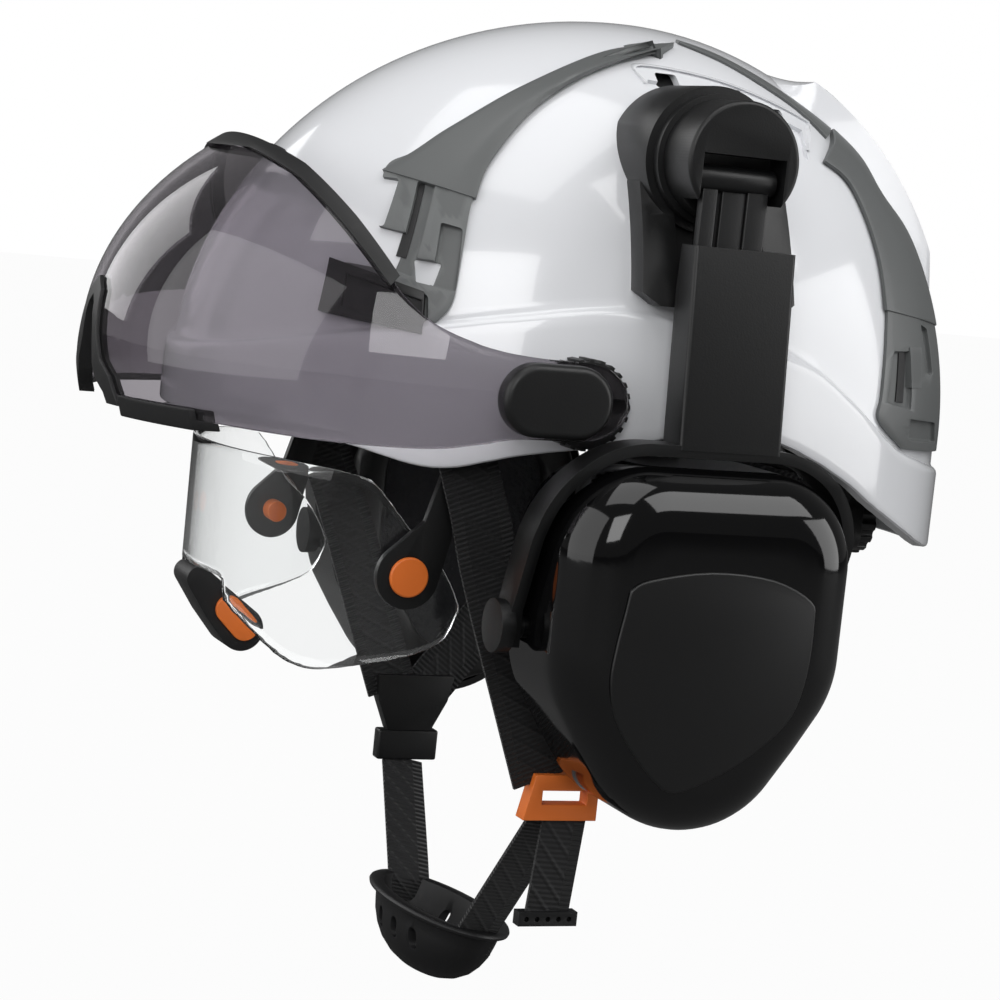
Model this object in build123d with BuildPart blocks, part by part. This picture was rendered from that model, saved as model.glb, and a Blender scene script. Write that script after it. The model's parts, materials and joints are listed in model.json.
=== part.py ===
from build123d import *
import math
import os

# Arborist helmet: shell with smoked visor, drop-down clear goggle, ear muffs and a chin strap.
# Millimetres.  +Z is up, the wearer faces -Y and +X is the wearer's left.
# The origin is the middle of the head band's plane, where the helmet sits on the head.

# ---------------------------------------------------------------- driving dimensions

HALF_WIDTH = 107.0        # shell, outside, at the widest section
FRONT_LENGTH = 155.0      # widest section to the front of the shell
REAR_LENGTH = 136.0       # widest section to the back of the shell
CROWN_HEIGHT = 138.0      # skirt line to the crown
CENTRE_Y = 4.0            # the widest section
SKIRT_LINE = -9.0         # height where the dome turns into the upright skirt
WALL = 3.0
LIP = 2.5                 # the lower skirt stands this far proud of the dome
TRIM = 1.6                # thickness of the grey trims
WIDE = 150.0              # half of any cutter that runs right across the helmet
STATIONS = 12             # sections that a rounded form is lofted through
END_ANGLE = 84.0          # the last section, in degrees from the widest one

VISOR_CENTRE = (0, -50, 0)
VISOR_RADII = (117, 133, 99)
VISOR_WALL = 2.5
VISOR_PIVOT = (-44, -1)   # (Y, Z) of the visor's hinge line
GOGGLE_CENTRE = (0, -70)
GOGGLE_RADII = (73, 70)
GOGGLE_WALL = 2.0
STUD = (-88, -65)         # (Y, Z) of the goggle's tilt studs
SLIDE_LEAN = math.degrees(math.atan2(10, 35))   # goggle arms lean back from upright

TURRET = (-3, 82)         # (Y, Z) of the ear muff's swivel
TURRET_RADIUS = 20.0
TURRET_FACE = (104.3, 124.0)
FLIP_HINGE = (117, 76)    # (X, Z) of the hinge that lets the muff swing out
SLEEVE_WIDTH = 37.0       # the sliding sleeve that carries the yoke
CUP_MIDDLE = -4.0         # Y of the ear cup's middle
CUP_BACK = 94.0           # X of the ear cup's back edge
CUP_FACE = 145.0          # X of the ear cup's outer face
CUP_PIVOT = (103, -76)    # (X, Z) of the yoke's pins
YOKE_OUTSIDE = 58.5       # half width of the yoke over its arms
YOKE_INSIDE = 54.5

BAND_HALF_WIDTH = 75.8    # head band, outside
BAND_FRONT = -98.0
BAND_REAR = 105.0
BAND_WALL = 2.0
STRAP_WIDTH = 20.0
STRAP_THICKNESS = 1.5


# ---------------------------------------------------------------- forms used by many parts

def stations(front, rear):
    """(Y, shrink) of the sections of an ellipsoid, evenly spaced round its long axis."""
    for step in range(STATIONS + 1):
        angle = math.radians(END_ANGLE * (2 * step / STATIONS - 1))
        yield (front if angle < 0 else rear) * math.sin(angle), math.cos(angle)


def domed_form(centre, width, front, rear, height, depth):
    """Solid under a half ellipsoid, carried straight down below the ellipsoid's middle."""
    x, y, z = centre
    with BuildPart() as form:
        for shift, shrink in stations(front, rear):
            half, top = width * shrink, height * shrink
            with BuildSketch(Plane.XZ.offset(-y - shift)):
                with BuildLine():
                    EllipticalCenterArc((x, z), half, top, 0, arc_size=180)
                    Polyline((x - half, z), (x - half, z - depth), (x + half, z - depth), (x + half, z))
                make_face()
        loft()
    return form.part


def egg_form(centre, radii):
    """Ellipsoid with its long axis along Y."""
    x, y, z = centre
    with BuildPart() as form:
        for shift, shrink in stations(radii[1], radii[1]):
            with BuildSketch(Plane.XZ.offset(-y - shift)):
                with Locations((x, z)):
                    Ellipse(radii[0] * shrink, radii[2] * shrink)
        loft()
    return form.part


def helmet_form(inset, depth=60):
    """Solid bounded by the dome and its upright skirt, shrunk evenly by inset."""
    return domed_form((0, CENTRE_Y, SKIRT_LINE), HALF_WIDTH - inset, FRONT_LENGTH - inset,
                      REAR_LENGTH - inset, CROWN_HEIGHT - inset, depth)


def side_prism(outline, near, far):
    """Solid with a closed (Y, Z) outline, running from X = near to X = far."""
    with BuildPart() as prism:
        with BuildSketch(Plane.YZ.offset(near)):
            with BuildLine():
                Polyline(*outline, close=True)
            make_face()
        extrude(amount=far - near)
    return prism.part


def front_prism(outline, back, front):
    """Solid with a closed (X, Z) outline, running from Y = back forward to Y = front."""
    with BuildPart() as prism:
        with BuildSketch(Plane.XZ.offset(-back)):
            with BuildLine():
                Polyline(*outline, close=True)
            make_face()
        extrude(amount=back - front)
    return prism.part


def plan_prism(outline, low, high):
    """Solid with a closed (X, Y) outline, running from Z = low to Z = high."""
    with BuildPart() as prism:
        with BuildSketch(Plane.XY.offset(low)):
            with BuildLine():
                Polyline(*outline, close=True)
            make_face()
        extrude(amount=high - low)
    return prism.part


def under_curve(points, top):
    """Solid across the helmet between a smooth (Y, Z) curve and a level line at top."""
    with BuildPart() as prism:
        with BuildSketch(Plane.YZ.offset(-WIDE)):
            with BuildLine() as edge:
                Spline(*points)
                start, end = edge.line @ 0, edge.line @ 1
                Polyline((start.X, start.Y), (start.X, top), (end.X, top), (end.X, end.Y))
            make_face()
        extrude(amount=2 * WIDE)
    return prism.part


def layer(outer, inner, *limits):
    """What lies in outer, outside inner and inside every one of the limits."""
    with BuildPart() as piece:
        add(outer)
        for limit in limits:
            add(limit, mode=Mode.INTERSECT)
        add(inner, mode=Mode.SUBTRACT)
    return piece.part


def common(first, *others):
    """What all the shapes share."""
    with BuildPart() as piece:
        add(first)
        for other in others:
            add(other, mode=Mode.INTERSECT)
    return piece.part


def visor_form(grow):
    """The visor's ellipsoid, grown evenly."""
    return egg_form(VISOR_CENTRE, [radius + grow for radius in VISOR_RADII])


def rounded_hull(circles, near, far):
    """Solid from X = near to X = far whose outline wraps (Y, Z, radius) circles."""
    with BuildPart() as body:
        with BuildSketch(Plane.YZ.offset(near)):
            with BuildSketch(mode=Mode.PRIVATE) as rounds:
                for y, z, radius in circles:
                    with Locations((y, z)):
                        Circle(radius)
            make_hull(rounds.sketch.edges())
        extrude(amount=far - near)
    return body.part


def save(part, name):
    """Label a finished sub-part and write its STEP file."""
    part.label = name
    export_step(part, f"parts/{name}.step")


def save_pair(part, name):
    """Write the wearer's left piece and its mirror image on the right."""
    save(part, name + "_left")
    with BuildPart() as twin:
        mirror(part, about=Plane.YZ)
    save(twin.part, name + "_right")


def both_sides(part):
    """One node's pair of pieces, left and right of the middle."""
    with BuildPart() as pair:
        add(part)
        mirror(part, about=Plane.YZ)
    return pair.part


os.makedirs("parts", exist_ok=True)
OUTER = helmet_form(0)
INNER = helmet_form(WALL)

# ---------------------------------------------------------------- shell

# The rim drops at the temples, arches over the ears and falls to the nape.
RIM = [(-175, -19), (-150, -20), (-116, -22), (-87, -27), (-60, -20), (-28, -14), (-4, -9), (12, -8),
       (30, -10), (45, -15), (63, -23), (84, -34), (123, -49), (165, -51)]
# The crease is the upper edge of the proud skirt.
CREASE = [(-175, -2), (-150, 4), (-120, 13), (-90, 20), (-63, 26), (-31, 31), (-6, 28), (37, 19),
          (61, 6), (83, -8), (100, -14), (130, -20), (165, -22)]

above_rim = under_curve(RIM, CROWN_HEIGHT + 20)
below_crease = under_curve(CREASE, -80)

skirt = layer(helmet_form(-LIP), helmet_form(0.8), above_rim, below_crease)

# The white hump behind the crown stands proud between the two grey rear trims.
hump_side = side_prism([(46, 90), (44, 121), (57, 118.5), (93, 106), (103, 101), (117, 90), (129, 75),
                        (132, 62), (120, 55)], -WIDE, WIDE)
hump_plan = plan_prism([(-34, 40), (34, 40), (41, 62), (37, 90), (27, 140), (-27, 140), (-37, 90),
                        (-41, 62)], 0, 140)
hump = layer(helmet_form(-8), helmet_form(0.8), hump_side, hump_plan)

VENT_RECESS = [(-10, 112.5), (20, 110), (53, 101), (51, 90), (20, 101), (-13, 106)]
recess = layer(helmet_form(-1), helmet_form(1.4), side_prism(VENT_RECESS, 20, 90))
VENTS = [(-0.5, 108.0), (38.0, 99.5)]
VENT_SIZE = 7.5

with BuildPart() as outer_shell:
    add(OUTER)
    add(INNER, mode=Mode.SUBTRACT)
    add(above_rim, mode=Mode.INTERSECT)
    add(skirt)
    add(hump)
    for side in (recess, recess.mirror(Plane.YZ)):
        add(side, mode=Mode.SUBTRACT)
    for y, z in VENTS:
        with Locations((0, y, z)):
            Box(2 * 75, VENT_SIZE, VENT_SIZE, mode=Mode.SUBTRACT)
save(outer_shell.part, "outer_shell")

# Front grey trim: a blade that sweeps from the brow up beside the crown.
FRONT_TRIM = [(8, 122.5), (-22, 116), (-54, 101), (-79, 85), (-92, 75), (-101, 68), (-105, 48),
              (-112, 40), (-119, 24), (-104, 18), (-90, 20), (-84, 28), (-81, 44), (-77, 61), (-70, 75),
              (-54, 93), (-33, 107), (-7, 118)]
# Lamp-clip slots: two upright fingers with a short one between them.
CLIP_SLOTS = [(-97.5, 46, 60), (-91, 40, 56), (-85.5, 44, 62)]
SLOT_WIDTH = 3.2
front_blade = layer(helmet_form(-TRIM), OUTER, side_prism(FRONT_TRIM, 0, WIDE))
with BuildPart() as front_trim:
    add(front_blade)
    for y, low, high in CLIP_SLOTS:
        with Locations((60, y, (low + high) / 2)):
            Box(80, SLOT_WIDTH, high - low, mode=Mode.SUBTRACT)
save_pair(front_trim.part, "front_trim")

# Rear grey trim with its own clip pocket low down.
REAR_TRIM = [(71, 99), (57, 87), (69, 79.5), (77, 58), (79.5, 41), (80, 27), (80.5, -0.6), (86, -9.5),
             (104, -14), (126, -17), (131, -12), (131, 0), (125, 30), (111, 60), (90, 77), (84, 90)]
rear_blade = layer(helmet_form(-TRIM), OUTER, side_prism(REAR_TRIM, 25, WIDE))
with BuildPart() as rear_trim:
    add(rear_blade)
    add(helmet_form(-LIP), mode=Mode.INTERSECT)
    for y, low, high in [(98, 12, 30), (96, -6, 2)]:
        with Locations((75, y, (low + high) / 2)):
            Box(80, 8, high - low, mode=Mode.SUBTRACT)
trim_free = layer(rear_trim.part, skirt)
save_pair(trim_free, "rear_trim")

# A dark cover plate closes the clip slot under each front trim.
COVER = [(-116, 38), (-121, 22.5), (-99, 17), (-93, 28)]
cover = layer(helmet_form(-TRIM - 2), helmet_form(-TRIM), side_prism(COVER, 0, WIDE))
save(both_sides(layer(cover, skirt)), "slot_covers")

# Fine mesh pieces sit inside the shell behind the four vents.
with BuildPart() as vent_mesh:
    add(INNER)
    add(helmet_form(WALL + 1.2), mode=Mode.SUBTRACT)
    with BuildPart(mode=Mode.PRIVATE) as patches:
        for y, z in VENTS:
            with Locations((0, y, z - 2)):
                Box(150, VENT_SIZE + 5, VENT_SIZE + 5)
    add(patches.part, mode=Mode.INTERSECT)
save(vent_mesh.part, "vent_mesh")

# ---------------------------------------------------------------- ear muff mounts

MOUNT_PLATE = [(-21, 95), (-26, 72), (-27, 37), (-21, 33), (23, 33), (29, 37), (28, 72), (23, 95)]
MOUNT_RIB_FRONT = [(-21, 92), (-26, 72), (-27, 37), (-21, 33), (-15, 33), (-15, 92)]
MOUNT_RIB_REAR = [(17, 92), (24, 92), (28, 72), (29, 37), (23, 33), (17, 33)]
plate = layer(helmet_form(-4), OUTER, side_prism(MOUNT_PLATE, 0, WIDE))
ribs = [layer(helmet_form(-9), OUTER, side_prism(rib, 0, WIDE)) for rib in (MOUNT_RIB_FRONT, MOUNT_RIB_REAR)]
with BuildPart() as muff_mount:
    with BuildSketch(Plane.YZ.offset(70)):
        with Locations(TURRET):
            Circle(24.5)
    extrude(amount=30)
    with BuildSketch(Plane.YZ.offset(98)):
        with Locations(TURRET):
            Circle(22)
    extrude(amount=6)
    with BuildSketch(Plane.YZ.offset(100)):
        with Locations(TURRET):
            Circle(6)
    extrude(amount=10)
    add(OUTER, mode=Mode.SUBTRACT)
    add(plate)
    add(ribs)
save_pair(muff_mount.part, "muff_mount")

# ---------------------------------------------------------------- visor brackets

BRACKET_FACE = 112.0
PIN_BORE = 4.0
TEETH = 24
with BuildPart() as visor_bracket:
    with BuildSketch(Plane.YZ.offset(95)):
        with Locations(VISOR_PIVOT):
            Circle(14.2)
            with PolarLocations(14.2, TEETH):
                Rectangle(1.8, 1.8)
    extrude(amount=BRACKET_FACE - 95)
    add(helmet_form(-LIP), mode=Mode.SUBTRACT)
    with Locations(Plane.YZ.offset(BRACKET_FACE)):
        with Locations(VISOR_PIVOT):
            Hole(PIN_BORE, depth=8)
save(both_sides(visor_bracket.part), "visor_brackets")

# ---------------------------------------------------------------- suspension and head band

CLIP_LOW, CLIP_HIGH = 20.0, 34.0


def cradle_form(inset):
    """Ellipsoid dome that the textile cradle lies on, above the clips."""
    return domed_form((0, CENTRE_Y, SKIRT_LINE), 84 - inset, 112 - inset, 112 - inset, 110 - inset, 10)


with BuildPart() as crossing:
    for turn in (0, 60, 120):
        with Locations(Location((0, CENTRE_Y, 75), (0, 0, turn))):
            Box(260, STRAP_WIDTH, 2 * (75 - CLIP_LOW))
webbing = layer(cradle_form(0), cradle_form(STRAP_THICKNESS), crossing.part)
save(webbing, "suspension_webbing")

with BuildPart() as clip_blocks:
    for turn in (0, 60, 120, 180, 240, 300):
        with Locations(Location((0, CENTRE_Y, (CLIP_LOW + CLIP_HIGH) / 2), (0, 0, turn))):
            Box(200, 24, CLIP_HIGH - CLIP_LOW, align=(Align.MIN, Align.CENTER, Align.CENTER))
clips = layer(INNER, cradle_form(0), clip_blocks.part)
# Side hangers reach down from the clips to the head band, and one hangs at the brow.
side_hanger = front_prism([(75.8, -6), (78, -6), (78, 20), (80, 20), (80, 24), (75.8, 24)], 10, -2)
brow_hanger = side_prism([(-98, -4), (-98, 30), (-160, 30), (-160, 25), (-100.2, 25), (-100.2, -4)], -8, 8)
with BuildPart() as hanger_clips:
    add(clips)
    add(side_hanger)
    mirror(side_hanger, about=Plane.YZ)
    add(common(brow_hanger, INNER))
    add(webbing, mode=Mode.SUBTRACT)
save(hanger_clips.part, "hanger_clips")

BAND_FRONT_CENTRE = -30.0
BAND_REAR_CENTRE = 40.0


def band_ring(inset, wall, low, high):
    """Upright head band wall: elliptic front and rear joined by straight sides."""
    rings = []
    for shrink in (inset, inset + wall):
        with BuildPart() as solid:
            with BuildSketch(Plane.XY.offset(low)):
                with BuildLine():
                    half = BAND_HALF_WIDTH - shrink
                    front = BAND_FRONT_CENTRE - BAND_FRONT - shrink
                    rear = BAND_REAR - BAND_REAR_CENTRE - shrink
                    EllipticalCenterArc((0, BAND_FRONT_CENTRE), half, front, 180, arc_size=180)
                    Line((half, BAND_FRONT_CENTRE), (half, BAND_REAR_CENTRE))
                    EllipticalCenterArc((0, BAND_REAR_CENTRE), half, rear, 0, arc_size=180)
                    Line((-half, BAND_REAR_CENTRE), (-half, BAND_FRONT_CENTRE))
                make_face()
            extrude(amount=high - low)
        rings.append(solid.part)
    return layer(rings[0], rings[1])


band_front_side = side_prism([(-110, -14), (-110, 16), (-60, 14), (20, 9), (52, 8), (52, -8), (20, -9),
                              (-60, -12)], -WIDE, WIDE)
headband_front = common(band_ring(0, BAND_WALL, -80, 40), band_front_side)
save(headband_front, "headband_front")

brow_pad_side = side_prism([(-110, -16), (-110, 18), (-66, 15), (-66, -13)], -WIDE, WIDE)
brow_pad = common(band_ring(BAND_WALL, 6, -80, 40), brow_pad_side)
save(brow_pad, "brow_pad")

REAR_INSET = BAND_WALL + 0.8
rear_side = side_prism([(8, -7), (8, 7), (48, 7), (74, -8), (92, -26), (110, -30), (110, -60), (92, -57),
                        (72, -36), (46, -10)], -WIDE, WIDE)
headband_rear = common(band_ring(REAR_INSET, BAND_WALL, -80, 40), rear_side)
save(headband_rear, "headband_rear")

nape_side = side_prism([(84, -27), (110, -33), (110, -57), (84, -50)], -WIDE, WIDE)
nape_pad = common(band_ring(REAR_INSET + BAND_WALL, 5, -80, 40), nape_side)
save(nape_pad, "nape_pad")

# The ratchet gathers the two rear tails: a housing on the nape band and a fluted knob behind it.
RATCHET_Z = -45.0
HOUSING_BACK = 111.0
KNOB_RADIUS = 15.0
band_block = band_ring(REAR_INSET, 40, -80, 40)
with BuildPart() as housing_blank:
    with BuildSketch(Plane.XZ.offset(-90)):
        with Locations((0, RATCHET_Z)):
            RectangleRounded(58, 22, 6)
    extrude(amount=-(HOUSING_BACK - 90))
    with BuildSketch(Plane.XZ.offset(-HOUSING_BACK)):
        with Locations((0, RATCHET_Z)):
            Circle(3.5)
    extrude(amount=12, both=True)
with BuildPart() as ratchet_housing:
    add(housing_blank.part)
    add(band_block, mode=Mode.SUBTRACT)
save(ratchet_housing.part, "ratchet_housing")

with BuildPart() as ratchet_knob:
    with BuildSketch(Plane.XZ.offset(-(HOUSING_BACK + 0.4))):
        with Locations((0, RATCHET_Z)):
            Circle(KNOB_RADIUS)
            with PolarLocations(KNOB_RADIUS + 1, 16):
                Circle(2, mode=Mode.SUBTRACT)
            Circle(4.0, mode=Mode.SUBTRACT)
    extrude(amount=-14)
    with BuildSketch(Plane.XZ.offset(-(HOUSING_BACK + 13.4))):
        with Locations((0, RATCHET_Z)):
            Circle(9)
    extrude(amount=-2)
save(ratchet_knob.part, "ratchet_knob")

# ---------------------------------------------------------------- goggle

ARM_NEAR, ARM_FAR = 76.5, 79.5
ARM_WIDTH = 10.0
SLIDE_UP = (math.sin(math.radians(SLIDE_LEAN)), math.cos(math.radians(SLIDE_LEAN)))


def along_slide(distance, across=0.0):
    """(Y, Z) of a point up the goggle arm from the stud, shifted across it."""
    return (STUD[0] + SLIDE_UP[0] * distance + SLIDE_UP[1] * across,
            STUD[1] + SLIDE_UP[1] * distance - SLIDE_UP[0] * across)


def slide_strip(start, end, half, shift=0.0):
    """Closed (Y, Z) outline of a strip that runs along the goggle arm."""
    return [along_slide(start, shift - half), along_slide(end, shift - half),
            along_slide(end, shift + half), along_slide(start, shift + half)]


ARM_SHIFT = 4.0           # the stem stands a little behind the stud
ARM_LENGTH = 70.0
teardrop = rounded_hull([(STUD[0], STUD[1], 11), (*along_slide(16, ARM_SHIFT), 6)], ARM_NEAR, ARM_FAR)
stem = side_prism(slide_strip(10, ARM_LENGTH, ARM_WIDTH / 2, ARM_SHIFT), ARM_NEAR, ARM_FAR)
with BuildPart() as goggle_arm:
    add(teardrop)
    add(stem)
    with Locations(Plane.YZ.offset(ARM_FAR)):
        with Locations(STUD):
            Hole(4.0)
save(both_sides(goggle_arm.part), "goggle_arms")

with BuildPart() as goggle_stud:
    with BuildSketch(Plane.YZ.offset(ARM_FAR)):
        with Locations(STUD):
            Circle(6.8)
    extrude(amount=1.8)
    fillet(goggle_stud.faces().sort_by(Axis.X)[-1].edges(), 0.8)
    with BuildSketch(Plane.YZ.offset(68.5)):
        with Locations(STUD):
            Circle(4.0)
    extrude(amount=ARM_FAR - 68.5)
save(both_sides(goggle_stud.part), "goggle_studs")

rail_block = side_prism(slide_strip(68, 122, 10, ARM_SHIFT), 76.3, WIDE)
rail_groove = side_prism(slide_strip(60, 130, ARM_WIDTH / 2 + 0.4, ARM_SHIFT), 70, ARM_FAR + 0.5)
rail = layer(INNER, rail_groove, rail_block)
save(both_sides(rail), "goggle_rails")


def goggle_cylinder(grow):
    """Upright elliptic cylinder through the clear lens."""
    with BuildPart() as body:
        with BuildSketch(Plane.XY.offset(-120)):
            with Locations(GOGGLE_CENTRE):
                Ellipse(GOGGLE_RADII[0] + grow, GOGGLE_RADII[1] + grow)
        extrude(amount=100)
    return body.part


LENS_SIDE = [(-160, -31), (-121, -32), (-103, -34), (-97, -37), (-86, -50), (-75, -61), (-68.5, -70),
             (-66, -76), (-69, -85), (-75, -90), (-85, -94), (-99, -98), (-111, -101), (-118, -100),
             (-124, -96), (-135, -84), (-137, -76), (-160, -76)]
with BuildPart() as goggle_lens:
    add(goggle_cylinder(0))
    add(goggle_cylinder(-GOGGLE_WALL), mode=Mode.SUBTRACT)
    add(side_prism(LENS_SIDE, -WIDE, WIDE), mode=Mode.INTERSECT)
    with Locations((0, STUD[0], STUD[1])):
        Cylinder(4.5, 2 * WIDE, rotation=(0, 90, 0), mode=Mode.SUBTRACT)
save(goggle_lens.part, "goggle_lens")

nose_outer = rounded_hull([(-138.5, -80, 4.5), (-130, -89, 6.5), (-121.5, -97, 8)], -9, 9)
with BuildPart() as nose_piece:
    add(nose_outer)
    add(goggle_lens.part, mode=Mode.SUBTRACT)
    with Locations((0, -124, -93)):
        Cylinder(4, 40, rotation=(0, 90, 0), mode=Mode.SUBTRACT)
save(nose_piece.part, "nose_piece")

button_face = rounded_hull([(-127, -90, 5), (-121, -96, 5)], 9, 11)
with BuildPart() as nose_button:
    add(button_face)
    mirror(button_face, about=Plane.YZ)
    with Locations((0, -124, -93)):
        Cylinder(4, 18, rotation=(0, 90, 0))
save(nose_button.part, "nose_button")

# ---------------------------------------------------------------- visor

VISOR_SIDE = [(-200, 74), (-139, 74), (-130, 66), (-120, 51), (-108, 31), (-99, 22), (-84, 16),
              (-68, 13.5), (-45, 13), (-33, 9), (-30, -1), (-34, -9), (-45, -12), (-68, -13), (-80, -16),
              (-96, -19), (-125, -20), (-162, -19), (-200, -17)]
NOTCH = [(-27, -25), (-21, -14), (-13, -9), (-8, 2), (-4, 15), (0, 18), (4, 15), (8, 2), (13, -9), (21, -14),
         (27, -25)]
NOTCH_TRIM = [(-31, -26), (-23, -10), (-16, -5), (-11.5, 4), (-7, 18), (0, 22.5), (7, 18), (11.5, 4),
              (16, -5), (23, -10), (31, -26)]
visor_in, visor_out = visor_form(-VISOR_WALL), visor_form(0)
visor_side = side_prism(VISOR_SIDE, -WIDE, WIDE)
visor_notch = front_prism(NOTCH, -120, -200)
with BuildPart() as visor_lens:
    add(visor_out)
    add(visor_in, mode=Mode.SUBTRACT)
    add(visor_side, mode=Mode.INTERSECT)
    add(visor_notch, mode=Mode.SUBTRACT)
    with Locations((0, VISOR_PIVOT[0], VISOR_PIVOT[1])):
        Cylinder(PIN_BORE, 2 * WIDE, rotation=(0, 90, 0), mode=Mode.SUBTRACT)
save(visor_lens.part, "visor_lens")

bead_out, bead_in = visor_form(1.3), visor_form(-VISOR_WALL - 1.3)
SEAL_SIDE = [(-160, 76), (-138, 76), (-128.5, 67.5), (-118.5, 52.5), (-108, 35), (-111, 31.5),
             (-122, 48.5), (-131, 62.5), (-140, 71), (-160, 71)]
seal = layer(bead_out, bead_in, side_prism(SEAL_SIDE, -WIDE, WIDE))
save(layer(seal, visor_lens.part), "visor_top_seal")

nose_trim = layer(bead_out, bead_in, front_prism(NOTCH_TRIM, -120, -200), side_prism(
    [(-200, -19.5), (-200, 40), (-120, 40), (-120, -19.5)], -WIDE, WIDE))
with BuildPart() as visor_nose_trim:
    add(nose_trim)
    add(visor_lens.part, mode=Mode.SUBTRACT)
    add(front_prism([(x * 0.86, z - 2.0) for x, z in NOTCH], -120, -200), mode=Mode.SUBTRACT)
save(visor_nose_trim.part, "visor_nose_trim")

tab_block = front_prism([(30, -25), (30, -15.5), (62, -15.5), (62, -25)], -120, -200)
tab = layer(visor_form(2.2), visor_form(-VISOR_WALL - 3), tab_block, side_prism(
    [(-200, -22.5), (-200, -10), (-100, -10), (-100, -22.5)], 0, WIDE))
save(layer(tab, visor_lens.part), "visor_tab")

# The knob's screw runs through the visor into the toothed bracket.
knob_blank = rounded_hull([(-51, 0, 12), (-65, 0, 12)], 108, 122)
with BuildPart() as visor_knob:
    add(knob_blank)
    fillet(visor_knob.faces().sort_by(Axis.X)[-1].edges(), 2.5)
    add(visor_out, mode=Mode.SUBTRACT)
    with BuildSketch(Plane.YZ.offset(107)):
        with Locations(VISOR_PIVOT):
            Circle(PIN_BORE - 0.4)
    extrude(amount=11)
save(both_sides(visor_knob.part), "visor_knobs")

# ---------------------------------------------------------------- ear muffs

NOTCH_HALF = 15.0         # half width of the turret's mouth
ARM_HALF = 14.0
HINGE_RADIUS = 4.5
with BuildPart() as muff_turret:
    with BuildSketch(Plane.YZ.offset(TURRET_FACE[0])):
        with Locations(TURRET):
            Circle(TURRET_RADIUS)
    extrude(amount=TURRET_FACE[1] - TURRET_FACE[0])
    fillet(muff_turret.faces().sort_by(Axis.X)[-1].edges(), 1.5)
    with Locations((112, TURRET[0], 50)):
        Box(14, 2 * NOTCH_HALF, 34, align=(Align.MIN, Align.CENTER, Align.MIN), mode=Mode.SUBTRACT)
    with Locations(Plane.YZ.offset(TURRET_FACE[0])):
        with Locations(TURRET):
            Cylinder(6.3, 2 * 6.2, mode=Mode.SUBTRACT)
    with Locations((FLIP_HINGE[0], TURRET[0], FLIP_HINGE[1])):
        Cylinder(1.6, 2 * NOTCH_HALF + 4, rotation=(90, 0, 0))
save_pair(muff_turret.part, "muff_turret")

BAR_HALF = 12.0
BAR = (115.5, 119.5)
with BuildPart() as muff_arm:
    with Locations((FLIP_HINGE[0], TURRET[0], FLIP_HINGE[1])):
        Cylinder(HINGE_RADIUS, 2 * ARM_HALF, rotation=(90, 0, 0))
    with Locations((0, TURRET[0], 0)):
        with Locations(((BAR[0] + BAR[1]) / 2, 0, 66)):
            Box(BAR[1] - BAR[0] + 3, 2 * ARM_HALF, 20)
        with Locations(((BAR[0] + BAR[1]) / 2, 0, 30)):
            Box(BAR[1] - BAR[0], 2 * BAR_HALF, 60)
        with Locations((BAR[1] + 1.5, -5, 66)):
            Box(3, 2.4, 22, mode=Mode.SUBTRACT)
    with Locations((FLIP_HINGE[0], TURRET[0], FLIP_HINGE[1])):
        Cylinder(1.9, 60, rotation=(90, 0, 0), mode=Mode.SUBTRACT)
save_pair(muff_arm.part, "muff_arm")

SLEEVE_MIDDLE = 1.0
SLEEVE_TOP = 54.0
YOKE_TOP = -7.0
yoke_outer, yoke_inner = (rounded_hull([(CUP_MIDDLE - 22, -47, radius), (CUP_MIDDLE + 22, -47, radius),
                                        (CUP_MIDDLE - 22, -140, radius), (CUP_MIDDLE + 22, -140, radius)],
                                       90, 140) for radius in (YOKE_OUTSIDE - 22, YOKE_INSIDE - 22))
yoke_lean = front_prism([(116.5, -4), (129, -4), (128, -20), (123, -40), (110, -70), (110, -82), (97, -82),
                         (97, -70), (109, -40), (115.5, -20)], 80, -80)
sleeve_body = front_prism([(111.5, 40), (112.5, SLEEVE_TOP), (124, SLEEVE_TOP), (125, 40), (129, -12),
                           (114.5, -12)], SLEEVE_MIDDLE + SLEEVE_WIDTH / 2, SLEEVE_MIDDLE - SLEEVE_WIDTH / 2)
with BuildPart() as yoke_arms:
    add(yoke_outer)
    add(yoke_inner, mode=Mode.SUBTRACT)
    add(yoke_lean, mode=Mode.INTERSECT)
with BuildPart() as muff_yoke:
    add(sleeve_body)
    fillet(muff_yoke.edges().filter_by(Axis.Z, tolerance=12), 1.5)
    add(yoke_arms.part)
    for side in (-1, 1):
        y = CUP_MIDDLE + side * (YOKE_OUTSIDE + 1)
        with Locations((CUP_PIVOT[0], y, CUP_PIVOT[1])):
            Cylinder(9, 5, rotation=(90, 0, 0))
        with Locations((CUP_PIVOT[0], CUP_MIDDLE + side * (YOKE_INSIDE - 1), CUP_PIVOT[1])):
            Cylinder(4, 8, rotation=(90, 0, 0))
    with Locations(((BAR[0] + BAR[1]) / 2, TURRET[0], 27)):
        Box(BAR[1] - BAR[0] + 0.8, 2 * BAR_HALF + 0.8, 62, mode=Mode.SUBTRACT)
save_pair(muff_yoke.part, "muff_yoke")

CUP_CIRCLES = [(-22, -48, 30), (22, -48, 30), (-13, -78, 39), (13, -78, 39), (0, -101, 37)]


def cup_outline(inset, near, far):
    """The ear cup's egg-shaped outline, shrunk evenly, as a solid between two X planes."""
    circles = [(CUP_MIDDLE + y, z, radius - inset) for y, z, radius in CUP_CIRCLES]
    return rounded_hull(circles, near, far)


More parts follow.
